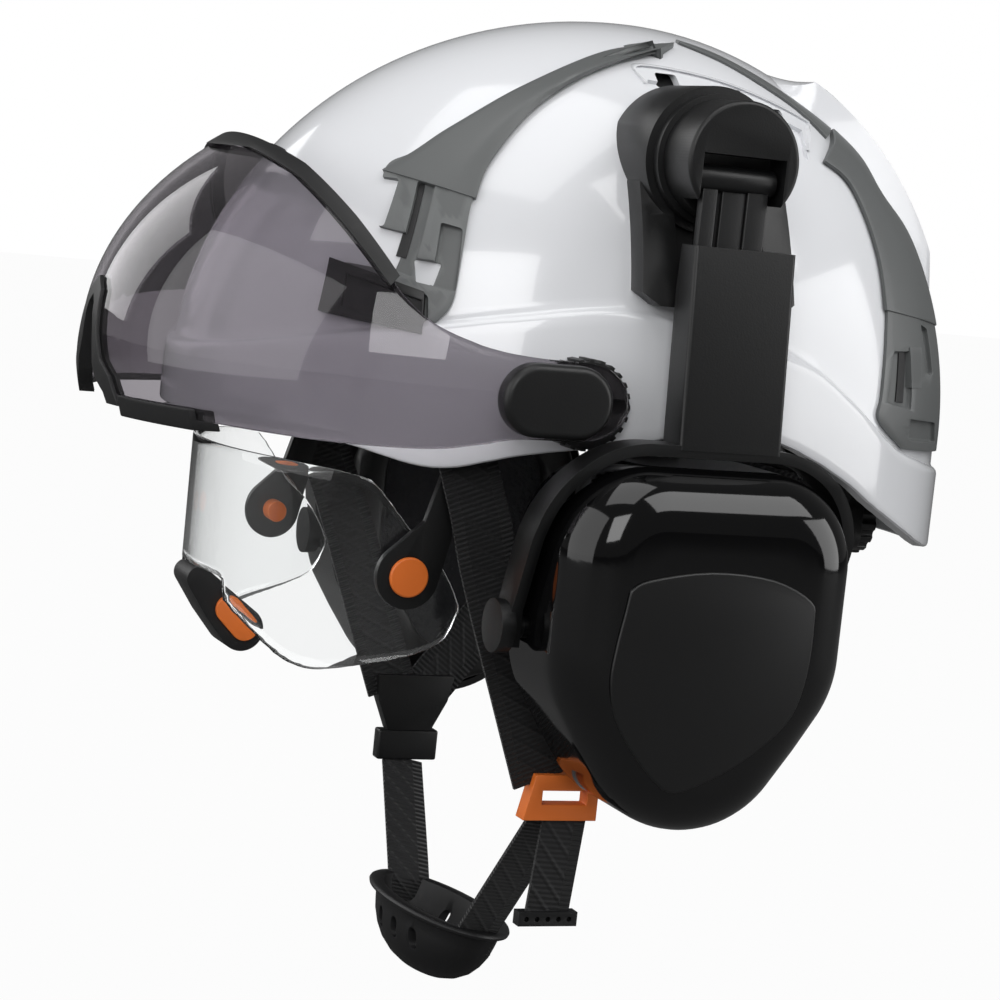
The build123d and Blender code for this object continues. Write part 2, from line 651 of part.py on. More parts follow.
cup_outside = cup_outline(0, CUP_BACK, CUP_FACE)
cup_cavity = cup_outline(2.6, CUP_BACK - 1, CUP_FACE - 2.6)
with BuildPart() as cup_room:
    add(cup_cavity)
    fillet(cup_room.faces().sort_by(Axis.X)[-1].edges(), 16)
with BuildPart() as muff_cup:
    add(cup_outside)
    fillet(muff_cup.faces().sort_by(Axis.X)[-1].edges(), 18)
    add(cup_room.part, mode=Mode.SUBTRACT)
    with Locations((CUP_PIVOT[0], CUP_MIDDLE, CUP_PIVOT[1])):
        Cylinder(4.4, 120, rotation=(90, 0, 0), mode=Mode.SUBTRACT)
save_pair(muff_cup.part, "muff_cup")

PANEL = [(-43, -61), (-36, -55), (-3, -49), (25, -53), (31, -60), (27, -86), (15, -103), (-5, -119),
         (-32, -104), (-43, -85)]
panel = side_prism(PANEL, CUP_FACE, CUP_FACE + 1.2)
save_pair(panel, "muff_panel")

CUSHION_FACE = 84.0
cushion_blank = cup_outline(5, CUSHION_FACE, CUP_BACK)
cushion_hole = cup_outline(19, CUSHION_FACE - 1, CUP_BACK + 1)
with BuildPart() as muff_cushion:
    add(cushion_blank)
    add(cushion_hole, mode=Mode.SUBTRACT)
save_pair(muff_cushion.part, "muff_cushion")

foam = cup_outline(8, CUP_BACK + 16, CUP_FACE - 20)
save_pair(foam, "muff_foam")

# ---------------------------------------------------------------- chin strap

# (X, Z) lines that the straps hang along.  The front one stays outside the goggle's sliding arm.
FRONT_LINE = [(85, -4), (84.2, -20), (82.6, -44), (78, -62), (76.6, -80), (75.8, -142)]
REAR_LINE = [(84, -4), (82.4, -20), (79.8, -45), (77, -80), (76, -142)]


def ribbon_sheet(line, thickness):
    """Sheet of even thickness that follows an (X, Z) line and runs along Y."""
    with BuildPart() as sheet:
        with BuildSketch(Plane.XZ.offset(-WIDE)):
            with BuildLine():
                Polyline(*line)
            trace(line_width=thickness)
        extrude(amount=2 * WIDE)
    return sheet.part


def strip(points, half):
    """Closed outline of a strip of even width along a line of two points."""
    (ya, za), (yb, zb) = points
    length = math.hypot(yb - ya, zb - za)
    across = ((zb - za) / length * half, -(yb - ya) / length * half)
    return [(ya + across[0], za + across[1]), (yb + across[0], zb + across[1]),
            (yb - across[0], zb - across[1]), (ya - across[0], za - across[1])]


front_sheet = ribbon_sheet(FRONT_LINE, STRAP_THICKNESS)
rear_sheet = ribbon_sheet(REAR_LINE, STRAP_THICKNESS)
FRONT_RUN = [(-80, -6), (-31, -134)]
REAR_RUN = [(78, -8), (-17, -134)]


def strap(run, half, sheet, near=0, far=WIDE):
    """Flat webbing of even width along a (Y, Z) run, lying on a sheet."""
    return common(sheet, side_prism(strip(run, half), near, far))


strap_room = helmet_form(WALL + 0.3, 200)
strap_front = common(strap(FRONT_RUN, STRAP_WIDTH / 2, front_sheet), strap_room)
strap_rear = layer(strap(REAR_RUN, STRAP_WIDTH / 2, rear_sheet),
                   side_prism(strip(FRONT_RUN, STRAP_WIDTH / 2 + 0.1), 0, WIDE), strap_room)
save_pair(strap_front, "strap_front")
save_pair(strap_rear, "strap_rear")

anchor_front = side_prism([(-91, -14), (-91, -4.5), (-67, -4.5), (-67, -14)], 81.5, WIDE)
anchor_rear = side_prism([(66, -14), (66, 0), (90, 0), (90, -14)], 81.5, WIDE)
anchors = [layer(INNER, front_sheet, anchor_front), layer(INNER, rear_sheet, anchor_rear)]
with BuildPart() as strap_anchors:
    add(anchors)
    mirror(anchors, about=Plane.YZ)
save(strap_anchors.part, "strap_anchors")

# Left: an orange adjuster joins both branches, and the loose tail hangs behind it to its keeper.
chin_sheet_left = ribbon_sheet([(75, -146.5), (50, -196), (40, -207)], STRAP_THICKNESS)
chin_left = strap([(-25, -147), (-33, -209)], 8, chin_sheet_left)
save(chin_left, "chin_strap_left")

tail_sheet = ribbon_sheet([(77.5, -147), (77, -184)], STRAP_THICKNESS)
tail = strap([(-21, -146), (-24, -184)], 8, tail_sheet)
save(tail, "strap_tail")

with BuildPart() as strap_adjuster:
    add(side_prism([(-37.5, -147.5), (-34, -131.5), (-10, -131.5), (-10, -147.5)], 73, 80))
    with Locations((76.5, -22.5, -139.5)):
        Box(20, 17, 5, mode=Mode.SUBTRACT)
    for webbing_end in (strap_front, strap_rear, chin_left, tail):
        add(webbing_end, mode=Mode.SUBTRACT)
save(strap_adjuster.part, "strap_adjuster")

with BuildPart() as strap_keeper:
    with Locations((77.2, -24, -182.5)):
        Box(5, 22, 5)
        for step in range(-2, 3):
            with Locations((2, 4 * step, 0)):
                Cylinder(0.9, 3, rotation=(0, 90, 0), mode=Mode.SUBTRACT)
    add(tail, mode=Mode.SUBTRACT)
save(strap_keeper.part, "strap_keeper")

# Right: a side-release buckle.
with BuildPart() as buckle_female:
    with BuildSketch(Plane.YZ.offset(-79)):
        with BuildLine():
            Polyline((-38, -128), (-6, -128), (-8, -138), (-14, -150), (-32, -150), (-37, -138), close=True)
        make_face()
    extrude(amount=6)
    for branch in (strap_front, strap_rear):
        add(branch.mirror(Plane.YZ), mode=Mode.SUBTRACT)
save(buckle_female.part, "buckle_female")

with BuildPart() as buckle_male:
    with Locations((-76, -23, -156)):
        Box(6, 25, 12)
    with Locations((-76, -23, -159)):
        Box(2.4, 20, 8, mode=Mode.SUBTRACT)
save(buckle_male.part, "buckle_male")

chin_sheet_right = ribbon_sheet([(-75, -162.5), (-52, -198), (-40, -209)], STRAP_THICKNESS)
chin_right = strap([(-24, -162), (-33, -211)], 8, chin_sheet_right, -WIDE, 0)
save(chin_right, "chin_strap_right")

# The chin cup is a shallow open bowl with a flange, oval vents and a slot at each end.
CHIN = (0, -33, -201)
CHIN_RADII = (40, 20)
CHIN_STEPS = [(0, 1.0), (-9, 0.93), (-17, 0.75), (-23, 0.45)]     # (drop, share of the full size)
CHIN_LEAN = -10.0         # the rim drops towards the throat


def chin_bowl(inset):
    """Bowl form lofted through shrinking ellipses, from the flange down."""
    with BuildPart() as bowl:
        for drop, share in CHIN_STEPS:
            with BuildSketch(Plane.XY.offset(CHIN[2] + drop + (inset if drop else 0))):
                with Locations(CHIN[:2]):
                    Ellipse(CHIN_RADII[0] * share - inset, CHIN_RADII[1] * share - inset)
        loft()
    return bowl.part


bowl_out, bowl_in = chin_bowl(0), chin_bowl(2.4)
with BuildPart() as chin_cup:
    add(bowl_out)
    with BuildSketch(Plane.XY.offset(CHIN[2])):
        with Locations(CHIN[:2]):
            Ellipse(CHIN_RADII[0] + 3.5, CHIN_RADII[1] + 3.5)
    extrude(amount=2.4)
    with BuildSketch(Plane.XY.offset(CHIN[2] - 0.5)):
        with Locations(CHIN[:2]):
            Ellipse(CHIN_RADII[0] - 2.4, CHIN_RADII[1] - 2.4)
    extrude(amount=6, mode=Mode.SUBTRACT)
    add(bowl_in, mode=Mode.SUBTRACT)
    for x in (-20, -7, 7, 20):
        with Locations((x, CHIN[1], CHIN[2] - 9)):
            Cylinder(2.5, 60, rotation=(90, 0, 0), mode=Mode.SUBTRACT)
leaning_cup = chin_cup.part.rotate(Axis(CHIN, (1, 0, 0)), CHIN_LEAN)
save(leaning_cup - chin_left - chin_right, "chin_cup")
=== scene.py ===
import bpy
import json
import math
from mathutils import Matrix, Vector

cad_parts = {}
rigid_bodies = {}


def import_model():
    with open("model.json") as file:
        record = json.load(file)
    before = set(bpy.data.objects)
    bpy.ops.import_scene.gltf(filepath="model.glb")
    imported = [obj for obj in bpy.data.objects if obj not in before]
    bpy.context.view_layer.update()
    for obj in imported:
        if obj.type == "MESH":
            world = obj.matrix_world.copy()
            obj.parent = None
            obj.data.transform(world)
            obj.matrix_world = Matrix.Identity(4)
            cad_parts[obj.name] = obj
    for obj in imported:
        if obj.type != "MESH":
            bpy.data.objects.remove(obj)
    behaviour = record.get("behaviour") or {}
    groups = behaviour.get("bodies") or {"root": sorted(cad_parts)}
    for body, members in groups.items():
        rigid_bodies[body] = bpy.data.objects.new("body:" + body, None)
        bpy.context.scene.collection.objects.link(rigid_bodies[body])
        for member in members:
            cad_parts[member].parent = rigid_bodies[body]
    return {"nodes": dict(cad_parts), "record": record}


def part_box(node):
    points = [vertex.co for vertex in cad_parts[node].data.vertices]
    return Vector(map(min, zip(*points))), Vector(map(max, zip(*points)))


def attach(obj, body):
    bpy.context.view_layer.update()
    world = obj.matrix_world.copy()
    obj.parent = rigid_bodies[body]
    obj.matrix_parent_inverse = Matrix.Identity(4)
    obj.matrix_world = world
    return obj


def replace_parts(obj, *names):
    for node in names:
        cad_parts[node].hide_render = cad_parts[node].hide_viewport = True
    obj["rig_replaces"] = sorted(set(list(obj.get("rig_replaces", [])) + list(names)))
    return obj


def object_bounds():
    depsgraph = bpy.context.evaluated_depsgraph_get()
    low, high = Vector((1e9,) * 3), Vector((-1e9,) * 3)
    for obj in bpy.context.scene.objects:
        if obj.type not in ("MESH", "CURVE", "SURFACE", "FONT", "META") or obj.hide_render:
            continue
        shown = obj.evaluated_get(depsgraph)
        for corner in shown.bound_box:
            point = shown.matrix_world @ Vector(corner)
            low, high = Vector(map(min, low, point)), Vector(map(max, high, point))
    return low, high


# A climbing helmet with visor, goggle, ear muffs and chin strap, dressed over its fixed frame.
# Points in the tables below are millimetres in the frame's own axes; mm turns them into metres.

mm = 0.001
fullTurn = 6.2832    # radians
halvings = 26        # steps of a search that halves its range

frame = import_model()
cadLow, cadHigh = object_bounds()
nodes = frame["nodes"]
bodyOf = {node: body for body, names in frame["record"]["behaviour"]["bodies"].items() for node in names}
slotOf = {row["node"]: row["material_slot"] for row in frame["record"]["subparts"]}

print("stage: camera, floor and lights")

view = dict(azimuth=67.4, elevation=6.5, roll=5.9, distance=971, target=(31.9, -38.1, -43.4), lens=98.7,
            floorDrop=2.0, floorSize=12.0)


def deselect():
    if bpy.context.object and bpy.context.object.mode != "OBJECT":
        bpy.ops.object.mode_set(mode="OBJECT")
    bpy.ops.object.select_all(action="DESELECT")


def pick(piece):
    deselect()
    piece.select_set(True)
    bpy.context.view_layer.objects.active = piece


def placeCamera():
    az, el, roll = (math.radians(view[key]) for key in ("azimuth", "elevation", "roll"))
    back = Vector((math.sin(az) * math.cos(el), -math.cos(az) * math.cos(el), math.sin(el)))
    right = Vector((math.cos(az), math.sin(az), 0))
    up = back.cross(right)
    across = right * math.cos(roll) + up * math.sin(roll)
    upright = up * math.cos(roll) - right * math.sin(roll)
    deselect()
    bpy.ops.object.camera_add(location=(Vector(view["target"]) + back * view["distance"]) * mm)
    camera = bpy.context.object
    turn = camera.matrix_world.to_3x3()
    for row in range(3):
        turn[row] = (across[row], upright[row], back[row])
    camera.rotation_euler = turn.to_euler()
    camera.data.lens = view["lens"]
    camera.data.sensor_width = 36
    camera.data.clip_end = 50
    bpy.context.scene.camera = camera


placeCamera()

lamps = [
    # name, place, size, power, aim
    ("softboxFront", (0.2, -1.65, 0.42), (2.0, 1.9), 19, (0.1, -0.1, 0)),
    ("softboxKey", (0.9, 0.67, 1.15), (1.1, 0.9), 10, (0, 0, 0)),
    ("softboxTop", (0.3, -0.3, 1.6), (1.2, 1.2), 9, (0, 0, 0)),
    ("softboxSide", (1.55, -0.75, 0.75), (0.7, 0.9), 9.5, (0, 0, 0)),
    ("softboxRear", (0.8, 1.5, 0.3), (1.2, 1.0), 10, (0, 0, 0)),
    ("softboxFar", (-1.4, -1.0, 0.6), (1.0, 1.0), 7, (0, 0, 0)),
]
for name, place, size, power, aim in lamps:
    deselect()
    bpy.ops.object.light_add(type="AREA", location=place)
    lamp = bpy.context.object
    lamp.name = name
    lamp.data.shape = "RECTANGLE"
    lamp.data.size, lamp.data.size_y = size
    lamp.data.energy = power
    lamp.rotation_euler = (Vector(place) - Vector(aim)).to_track_quat("Z", "Y").to_euler()

studio = dict(backdrop=1.0, fill=0.12, floorLift=0.97)


def reckon(tree, operation, *values):
    node = tree.nodes.new("ShaderNodeMath")
    node.operation = operation
    for socket, value in zip(node.inputs, values):
        if isinstance(value, (int, float)):
            socket.default_value = value
        else:
            tree.links.new(value, socket)
    return node.outputs[0]


def seenDirectly(tree):
    # one for rays from the camera, straight or in and out of a lens, which is two steps
    path = tree.nodes.new("ShaderNodeLightPath")
    even = reckon(tree, "SUBTRACT", 1, reckon(tree, "MODULO", path.outputs["Ray Depth"], 2))
    through = reckon(tree, "MULTIPLY", path.outputs["Is Transmission Ray"], even)
    return reckon(tree, "MAXIMUM", path.outputs["Is Camera Ray"], through)


def makeSky():
    sky = bpy.data.worlds.new("studioWhite")
    bpy.context.scene.world = sky
    sky.use_nodes = True
    tree = sky.node_tree
    strength = tree.nodes.new("ShaderNodeMapRange")
    strength.inputs["To Min"].default_value = studio["fill"]
    strength.inputs["To Max"].default_value = studio["backdrop"]
    tree.links.new(seenDirectly(tree), strength.inputs["Value"])
    tree.nodes["Background"].inputs["Color"].default_value = (1, 1, 1, 1)
    tree.links.new(strength.outputs["Result"], tree.nodes["Background"].inputs["Strength"])


makeSky()
bpy.context.scene.view_settings.view_transform = "Standard"


print("stage: materials")


def newGroup(name, inputs, outputs):
    tree = bpy.data.node_groups.new(name, "ShaderNodeTree")
    for socket, value in inputs.items():
        tree.interface.new_socket(name=socket, in_out="INPUT", socket_type="NodeSocketFloat").default_value = value
    for socket in outputs:
        tree.interface.new_socket(name=socket, in_out="OUTPUT", socket_type="NodeSocketFloat")
    return tree, tree.nodes.new("NodeGroupInput"), tree.nodes.new("NodeGroupOutput")


def noise(tree, coordinates, scale, detail):
    node = tree.nodes.new("ShaderNodeTexNoise")
    node.inputs["Detail"].default_value = detail
    tree.links.new(coordinates, node.inputs["Vector"])
    if isinstance(scale, (int, float)):
        node.inputs["Scale"].default_value = scale
    else:
        tree.links.new(scale, node.inputs["Scale"])
    return node.outputs["Fac"]


def makeGrain():
    # moulded plastic: a fine grain to bump and a slow drift of tone
    tree, given, out = newGroup("mouldedGrain", dict(Scale=900.0, Drift=18.0), ("Height", "Tone"))
    place = tree.nodes.new("ShaderNodeTexCoord").outputs["Object"]
    fine = noise(tree, place, given.outputs["Scale"], 3)
    slow = noise(tree, place, given.outputs["Drift"], 4)
    tree.links.new(fine, out.inputs["Height"])
    tree.links.new(slow, out.inputs["Tone"])
    return tree


def makeWear():
    # rubbed edges: convex edges broken up by noise
    tree, given, out = newGroup("edgeWear", dict(Start=0.53, Finish=0.62, Break=60.0), ("Mask",))
    edge = tree.nodes.new("ShaderNodeNewGeometry").outputs["Pointiness"]
    span = tree.nodes.new("ShaderNodeMapRange")
    tree.links.new(edge, span.inputs["Value"])
    tree.links.new(given.outputs["Start"], span.inputs["From Min"])
    tree.links.new(given.outputs["Finish"], span.inputs["From Max"])
    place = tree.nodes.new("ShaderNodeTexCoord").outputs["Object"]
    patchy = noise(tree, place, given.outputs["Break"], 5)
    tree.links.new(reckon(tree, "MULTIPLY", span.outputs["Result"], patchy), out.inputs["Mask"])
    return tree


def makeWebbing():
    # ribbon webbing on a UV map in metres: ladder ribs at both edges, slanted raised lines in the middle
    tree, given, out = newGroup("webbing", dict(Width=0.02, Pitch=0.0018, Slant=2.6), ("Height", "Tone"))
    split = tree.nodes.new("ShaderNodeSeparateXYZ")
    tree.links.new(tree.nodes.new("ShaderNodeTexCoord").outputs["UV"], split.inputs[0])
    across = reckon(tree, "DIVIDE", split.outputs["X"], given.outputs["Width"])
    off = reckon(tree, "ABSOLUTE", reckon(tree, "SUBTRACT", across, 0.5))
    along = reckon(tree, "DIVIDE", split.outputs["Y"], given.outputs["Pitch"])
    ribs = reckon(tree, "SINE", reckon(tree, "MULTIPLY", along, fullTurn))
    slope = reckon(tree, "MULTIPLY", across, given.outputs["Slant"])
    turns = reckon(tree, "ADD", reckon(tree, "MULTIPLY", along, 0.22), slope)
    slanted = reckon(tree, "SINE", reckon(tree, "MULTIPLY", turns, fullTurn))
    lines = reckon(tree, "POWER", reckon(tree, "MAXIMUM", slanted, 0.0), 3.0)
    border = reckon(tree, "GREATER_THAN", off, 0.3)
    middle = reckon(tree, "SUBTRACT", 1.0, border)
    raised = reckon(tree, "ADD", lines, reckon(tree, "MULTIPLY", ribs, 0.25))
    height = reckon(tree, "ADD", reckon(tree, "MULTIPLY", ribs, border), reckon(tree, "MULTIPLY", raised, middle))
    tree.links.new(height, out.inputs["Height"])
    tree.links.new(reckon(tree, "ADD", reckon(tree, "MULTIPLY", height, 0.35), 0.5), out.inputs["Tone"])
    return tree


def makeWeave():
    # plain weave for pads, read straight from the piece's own space
    tree, given, out = newGroup("plainWeave", dict(Thread=1500.0,), ("Height", "Tone"))
    split = tree.nodes.new("ShaderNodeSeparateXYZ")
    tree.links.new(tree.nodes.new("ShaderNodeTexCoord").outputs["Object"], split.inputs[0])
    x, y, z = (reckon(tree, "SINE", reckon(tree, "MULTIPLY", split.outputs[axis], given.outputs["Thread"]))
               for axis in "XYZ")
    mesh = reckon(tree, "ADD", reckon(tree, "MULTIPLY", x, y), reckon(tree, "MULTIPLY", y, z))
    tree.links.new(mesh, out.inputs["Height"])
    tree.links.new(reckon(tree, "ADD", reckon(tree, "MULTIPLY", mesh, 0.2), 0.5), out.inputs["Tone"])
    return tree


groups = dict(grain=makeGrain(), wear=makeWear(), webbing=makeWebbing(), weave=makeWeave())


def placed(tree, name, **values):
    node = tree.nodes.new("ShaderNodeGroup")
    node.node_tree = groups[name]
    for socket, value in values.items():
        node.inputs[socket].default_value = value
    return node


def surface(name, colour, worn, roughness, spread=0.08, pattern="grain", settings=None, depth=0.02, distance=0.0003,
            wearAmount=0.5, coat=0.0, sheen=0.0, specular=0.5):
    material = bpy.data.materials.new(name)
    material.use_nodes = True
    tree = material.node_tree
    shader = tree.nodes["Principled BSDF"]
    source = placed(tree, pattern, **(settings or {}))
    wear = placed(tree, "wear")
    drift = placed(tree, "grain", Scale=40.0, Drift=14.0)
    blend = tree.nodes.new("ShaderNodeMix")
    blend.data_type = "RGBA"
    blend.inputs[6].default_value = (*colour, 1)
    blend.inputs[7].default_value = (*worn, 1)
    mask = reckon(tree, "MULTIPLY", wear.outputs["Mask"], wearAmount)
    if pattern != "grain":
        mask = reckon(tree, "MAXIMUM", mask, reckon(tree, "MULTIPLY", source.outputs["Tone"], 0.5))
    else:
        mask = reckon(tree, "ADD", mask, reckon(tree, "MULTIPLY", drift.outputs["Tone"], 0.12))
    tree.links.new(mask, blend.inputs[0])
    tree.links.new(blend.outputs[2], shader.inputs["Base Color"])
    rough = reckon(tree, "ADD", reckon(tree, "MULTIPLY", drift.outputs["Tone"], spread), roughness - spread / 2)
    tree.links.new(rough, shader.inputs["Roughness"])
    bump = tree.nodes.new("ShaderNodeBump")
    bump.inputs["Strength"].default_value = depth
    bump.inputs["Distance"].default_value = distance
    tree.links.new(source.outputs["Height"], bump.inputs["Height"])
    tree.links.new(bump.outputs["Normal"], shader.inputs["Normal"])
    shader.inputs["Coat Weight"].default_value = coat
    shader.inputs["Coat Roughness"].default_value = 0.04
    shader.inputs["Sheen Weight"].default_value = sheen
    shader.inputs["Specular IOR Level"].default_value = specular
    return material


def glazing(name, colour, shade, ior, roughness):
    material = bpy.data.materials.new(name)
    material.use_nodes = True
    tree = material.node_tree
    shader = tree.nodes["Principled BSDF"]
    shader.inputs["Base Color"].default_value = (*colour, 1)
    shader.inputs["Transmission Weight"].default_value = 1
    shader.inputs["IOR"].default_value = ior
    haze = placed(tree, "grain", Scale=300.0, Drift=35.0)
    tree.links.new(reckon(tree, "MULTIPLY", haze.outputs["Tone"], roughness), shader.inputs["Roughness"])
    clear = tree.nodes.new("ShaderNodeBsdfTransparent")
    clear.inputs["Color"].default_value = (*shade, 1)
    through = tree.nodes.new("ShaderNodeMixShader")
    tree.links.new(tree.nodes.new("ShaderNodeLightPath").outputs["Is Shadow Ray"], through.inputs[0])
    tree.links.new(shader.outputs[0], through.inputs[1])
    tree.links.new(clear.outputs[0], through.inputs[2])
    tree.links.new(through.outputs[0], tree.nodes["Material Output"].inputs["Surface"])
    return material


finishes = {
    "shell_white": surface("glossWhite", (0.74, 0.75, 0.775), (0.66, 0.66, 0.67), 0.16, coat=0.6, depth=0.003,
                           settings=dict(Scale=260.0)),
    "trim_grey": surface("satinGrey", (0.098, 0.103, 0.103), (0.22, 0.23, 0.23), 0.42, depth=0.05,
                         settings=dict(Scale=2200.0)),
    "black_satin": surface("satinBlack", (0.0035, 0.0036, 0.0038), (0.02, 0.02, 0.021), 0.40, depth=0.12,
                           settings=dict(Scale=1500.0), specular=0.45),
    "black_gloss": surface("glossBlack", (0.002, 0.002, 0.0022), (0.01, 0.01, 0.01), 0.07, spread=0.03,
                           depth=0.003, settings=dict(Scale=300.0), wearAmount=0.1),
    "panel_black": surface("panelBlack", (0.003, 0.003, 0.0032), (0.012, 0.012, 0.012), 0.36, spread=0.05, depth=0.03,
                           settings=dict(Scale=1600.0), wearAmount=0.2),
    "seal_rubber": surface("softRubber", (0.004, 0.004, 0.0045), (0.02, 0.02, 0.021), 0.50, depth=0.1,
                           settings=dict(Scale=1800.0)),
    "webbing_black": surface("blackWebbing", (0.0025, 0.0025, 0.003), (0.016, 0.016, 0.017), 0.72, pattern="webbing",
                             depth=0.8, distance=0.0006, sheen=0.12),
    "pad_fabric": surface("padCloth", (0.005, 0.005, 0.006), (0.02, 0.02, 0.022), 0.85, pattern="weave", depth=0.5,
                          distance=0.0004, sheen=0.15),
    "cushion_skin": surface("cushionVinyl", (0.004, 0.004, 0.004), (0.018, 0.018, 0.018), 0.46, depth=0.12,
                            settings=dict(Scale=700.0)),
    "foam_grey": surface("openFoam", (0.06, 0.06, 0.065), (0.12, 0.12, 0.125), 0.95, depth=0.9, distance=0.0012,
                         settings=dict(Scale=420.0)),
    "orange": surface("orangeNylon", (0.80, 0.17, 0.02), (0.88, 0.35, 0.12), 0.40, depth=0.08,
                      settings=dict(Scale=1400.0), wearAmount=0.35),
    "smoked_lens": glazing("smokedVisor", (0.33, 0.31, 0.335), (0.86, 0.85, 0.86), 1.42, 0.006),
    "clear_lens": glazing("clearGoggle", (0.965, 0.975, 0.975), (0.97, 0.98, 0.98), 1.46, 0.006),
}
floorPaper = surface("floorPaper", (0.16, 0.16, 0.16), (0.2, 0.2, 0.2), 0.9, depth=0.02, settings=dict(Scale=60.0))


def liftFloor(material):
    # the paper reads as white where it is looked at, and keeps a soft shadow
    tree = material.node_tree
    glow = tree.nodes.new("ShaderNodeEmission")
    glow.inputs["Color"].default_value = (1, 1, 1, 1)
    mix = tree.nodes.new("ShaderNodeMixShader")
    share = tree.nodes.new("ShaderNodeMath")
    share.operation = "MULTIPLY"
    share.inputs[1].default_value = studio["floorLift"]
    tree.links.new(seenDirectly(tree), share.inputs[0])
    tree.links.new(share.outputs[0], mix.inputs[0])
    tree.links.new(tree.nodes["Principled BSDF"].outputs[0], mix.inputs[1])
    tree.links.new(glow.outputs[0], mix.inputs[2])
    tree.links.new(mix.outputs[0], tree.nodes["Material Output"].inputs["Surface"])


liftFloor(floorPaper)

bpy.ops.mesh.primitive_plane_add(size=view["floorSize"], location=(0, 0, cadLow.z - view["floorDrop"] * mm))
floor = bpy.context.object
floor.name = "floor"
floor.data.materials.append(floorPaper)



def smoothLine(points, share):
    # a point at that share of the way along a line that runs smoothly through the given points
    spans = len(points) - 1
    index = min(int(share * spans), spans - 1)
    t = share * spans - index
    ends = [points[max(index - 1, 0)], points[index], points[index + 1], points[min(index + 2, spans)]]
    return tuple(0.5 * (2 * b + (c - a) * t + (2 * a - 5 * b + 4 * c - d) * t * t + (3 * b - 3 * c + d - a) * t ** 3)
                 for a, b, c, d in zip(*ends))


def heightAt(points, y, steps=10):
    # height of a smooth side line above a given Y
    total = (len(points) - 1) * steps
    last = smoothLine(points, 0)
    if y <= last[0]:
        return last[1]
    for step in range(1, total + 1):
        here = smoothLine(points, step / total)
        if here[0] >= y:
            return last[1] + (here[1] - last[1]) * (y - last[0]) / max(here[0] - last[0], 1e-9)
        last = here
    return last[1]


def table(points, low=-170, high=170):
    # the same heights at every half millimetre, for quick reading
    heights = [heightAt(points, low + step / 2) for step in range(2 * (high - low) + 1)]
    return lambda y: heights[min(max(round((y - low) * 2), 0), len(heights) - 1)]


def between(pairs, x):
    for (xa, ya), (xb, yb) in zip(pairs, pairs[1:]):
        if x <= xb:
            return ya + (yb - ya) * min(max((x - xa) / (xb - xa), 0), 1)
    return pairs[-1][1]


def gridSheet(name, columns, rows, place):
    deselect()
    bpy.ops.mesh.primitive_grid_add(x_subdivisions=columns, y_subdivisions=rows, size=2, calc_uvs=True)
    piece = bpy.context.object
    piece.name = piece.data.name = name
    for vertex in piece.data.vertices:
        vertex.co = Vector(place((vertex.co.x + 1) / 2, (vertex.co.y + 1) / 2)) * mm
    return piece


def weld(piece, distance=0.02, outward=True):
    pick(piece)
    bpy.ops.object.mode_set(mode="EDIT")
    bpy.ops.mesh.select_all(action="SELECT")
    bpy.ops.mesh.remove_doubles(threshold=distance * mm)
    if outward:
        bpy.ops.mesh.normals_make_consistent(inside=False)
    bpy.ops.object.mode_set(mode="OBJECT")
    return piece


def applied(piece, kind, **settings):
    pick(piece)
    modifier = piece.modifiers.new(kind.lower(), kind)
    for key, value in settings.items():
        setattr(modifier, key, value)
    bpy.ops.object.modifier_apply(modifier=modifier.name)
    return piece


def thicken(piece, thickness, side=-1):
    return applied(piece, "SOLIDIFY", thickness=thickness * mm, offset=side, use_even_offset=True)


def roundOff(piece, width, segments=2, angle=35):
    return applied(piece, "BEVEL", width=width * mm, segments=segments, limit_method="ANGLE",
                   angle_limit=math.radians(angle), use_clamp_overlap=True)


def soften(piece, angle=35):
    pick(piece)
    bpy.ops.object.shade_smooth_by_angle(angle=math.radians(angle))
    return piece


def cutBy(piece, cutter, operation="DIFFERENCE"):
    applied(piece, "BOOLEAN", operation=operation, object=cutter, solver="EXACT")
    bpy.data.objects.remove(cutter)
    return piece


def settle(piece):
    pick(piece)
    bpy.ops.object.transform_apply(location=True, rotation=True, scale=True)
    return piece


def finish(piece, finishName, body, replaced=(), smooth=35, slotName=None):
    soften(piece, smooth)
    piece.data.materials.clear()
    piece.data.materials.append(finishes[finishName])
    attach(piece, body)
    slotName or finishName
    if replaced:
        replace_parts(piece, *replaced)
    return piece


def mirrored(piece, name):
    # a copy on the other side, with its own mesh
    twin = bpy.data.objects.new(name, piece.data.copy())
    bpy.context.collection.objects.link(twin)
    for vertex in twin.data.vertices:
        vertex.co.x = -vertex.co.x
    twin.data.flip_normals()
    return twin


def copied(name, node):
    # a frame node's shape as a mesh of its own, merged and with its flat faces whole
    piece = bpy.data.objects.new(name, nodes[node].data.copy())
    bpy.context.collection.objects.link(piece)
    piece.data.materials.clear()
    pick(piece)
    bpy.ops.object.mode_set(mode="EDIT")
    bpy.ops.mesh.select_all(action="SELECT")
    bpy.ops.mesh.remove_doubles(threshold=0.00001)
    bpy.ops.mesh.dissolve_limited(angle_limit=math.radians(0.6))
    bpy.ops.object.mode_set(mode="OBJECT")
    return piece


def dressed(node, width=0.4, segments=2, angle=32, finishName=None, smooth=35, cutters=()):
    piece = copied(node + "_shape", node)
    for cutter in cutters:
        cutBy(piece, cutter)
    if width:
        roundOff(piece, width, segments, angle)
    return finish(piece, finishName or slotOf[node], bodyOf[node], [node], smooth)


def boxAt(name, middle, size, turn=(0, 0, 0), bevel=0.5):
    deselect()
    bpy.ops.mesh.primitive_cube_add(size=1, location=Vector(middle) * mm, rotation=[math.radians(a) for a in turn],
                                    scale=Vector(size) * mm)
    piece = bpy.context.object
    piece.name = piece.data.name = name
    settle(piece)
    if bevel:
        roundOff(piece, bevel, 3)
    return piece



print("stage: shell")

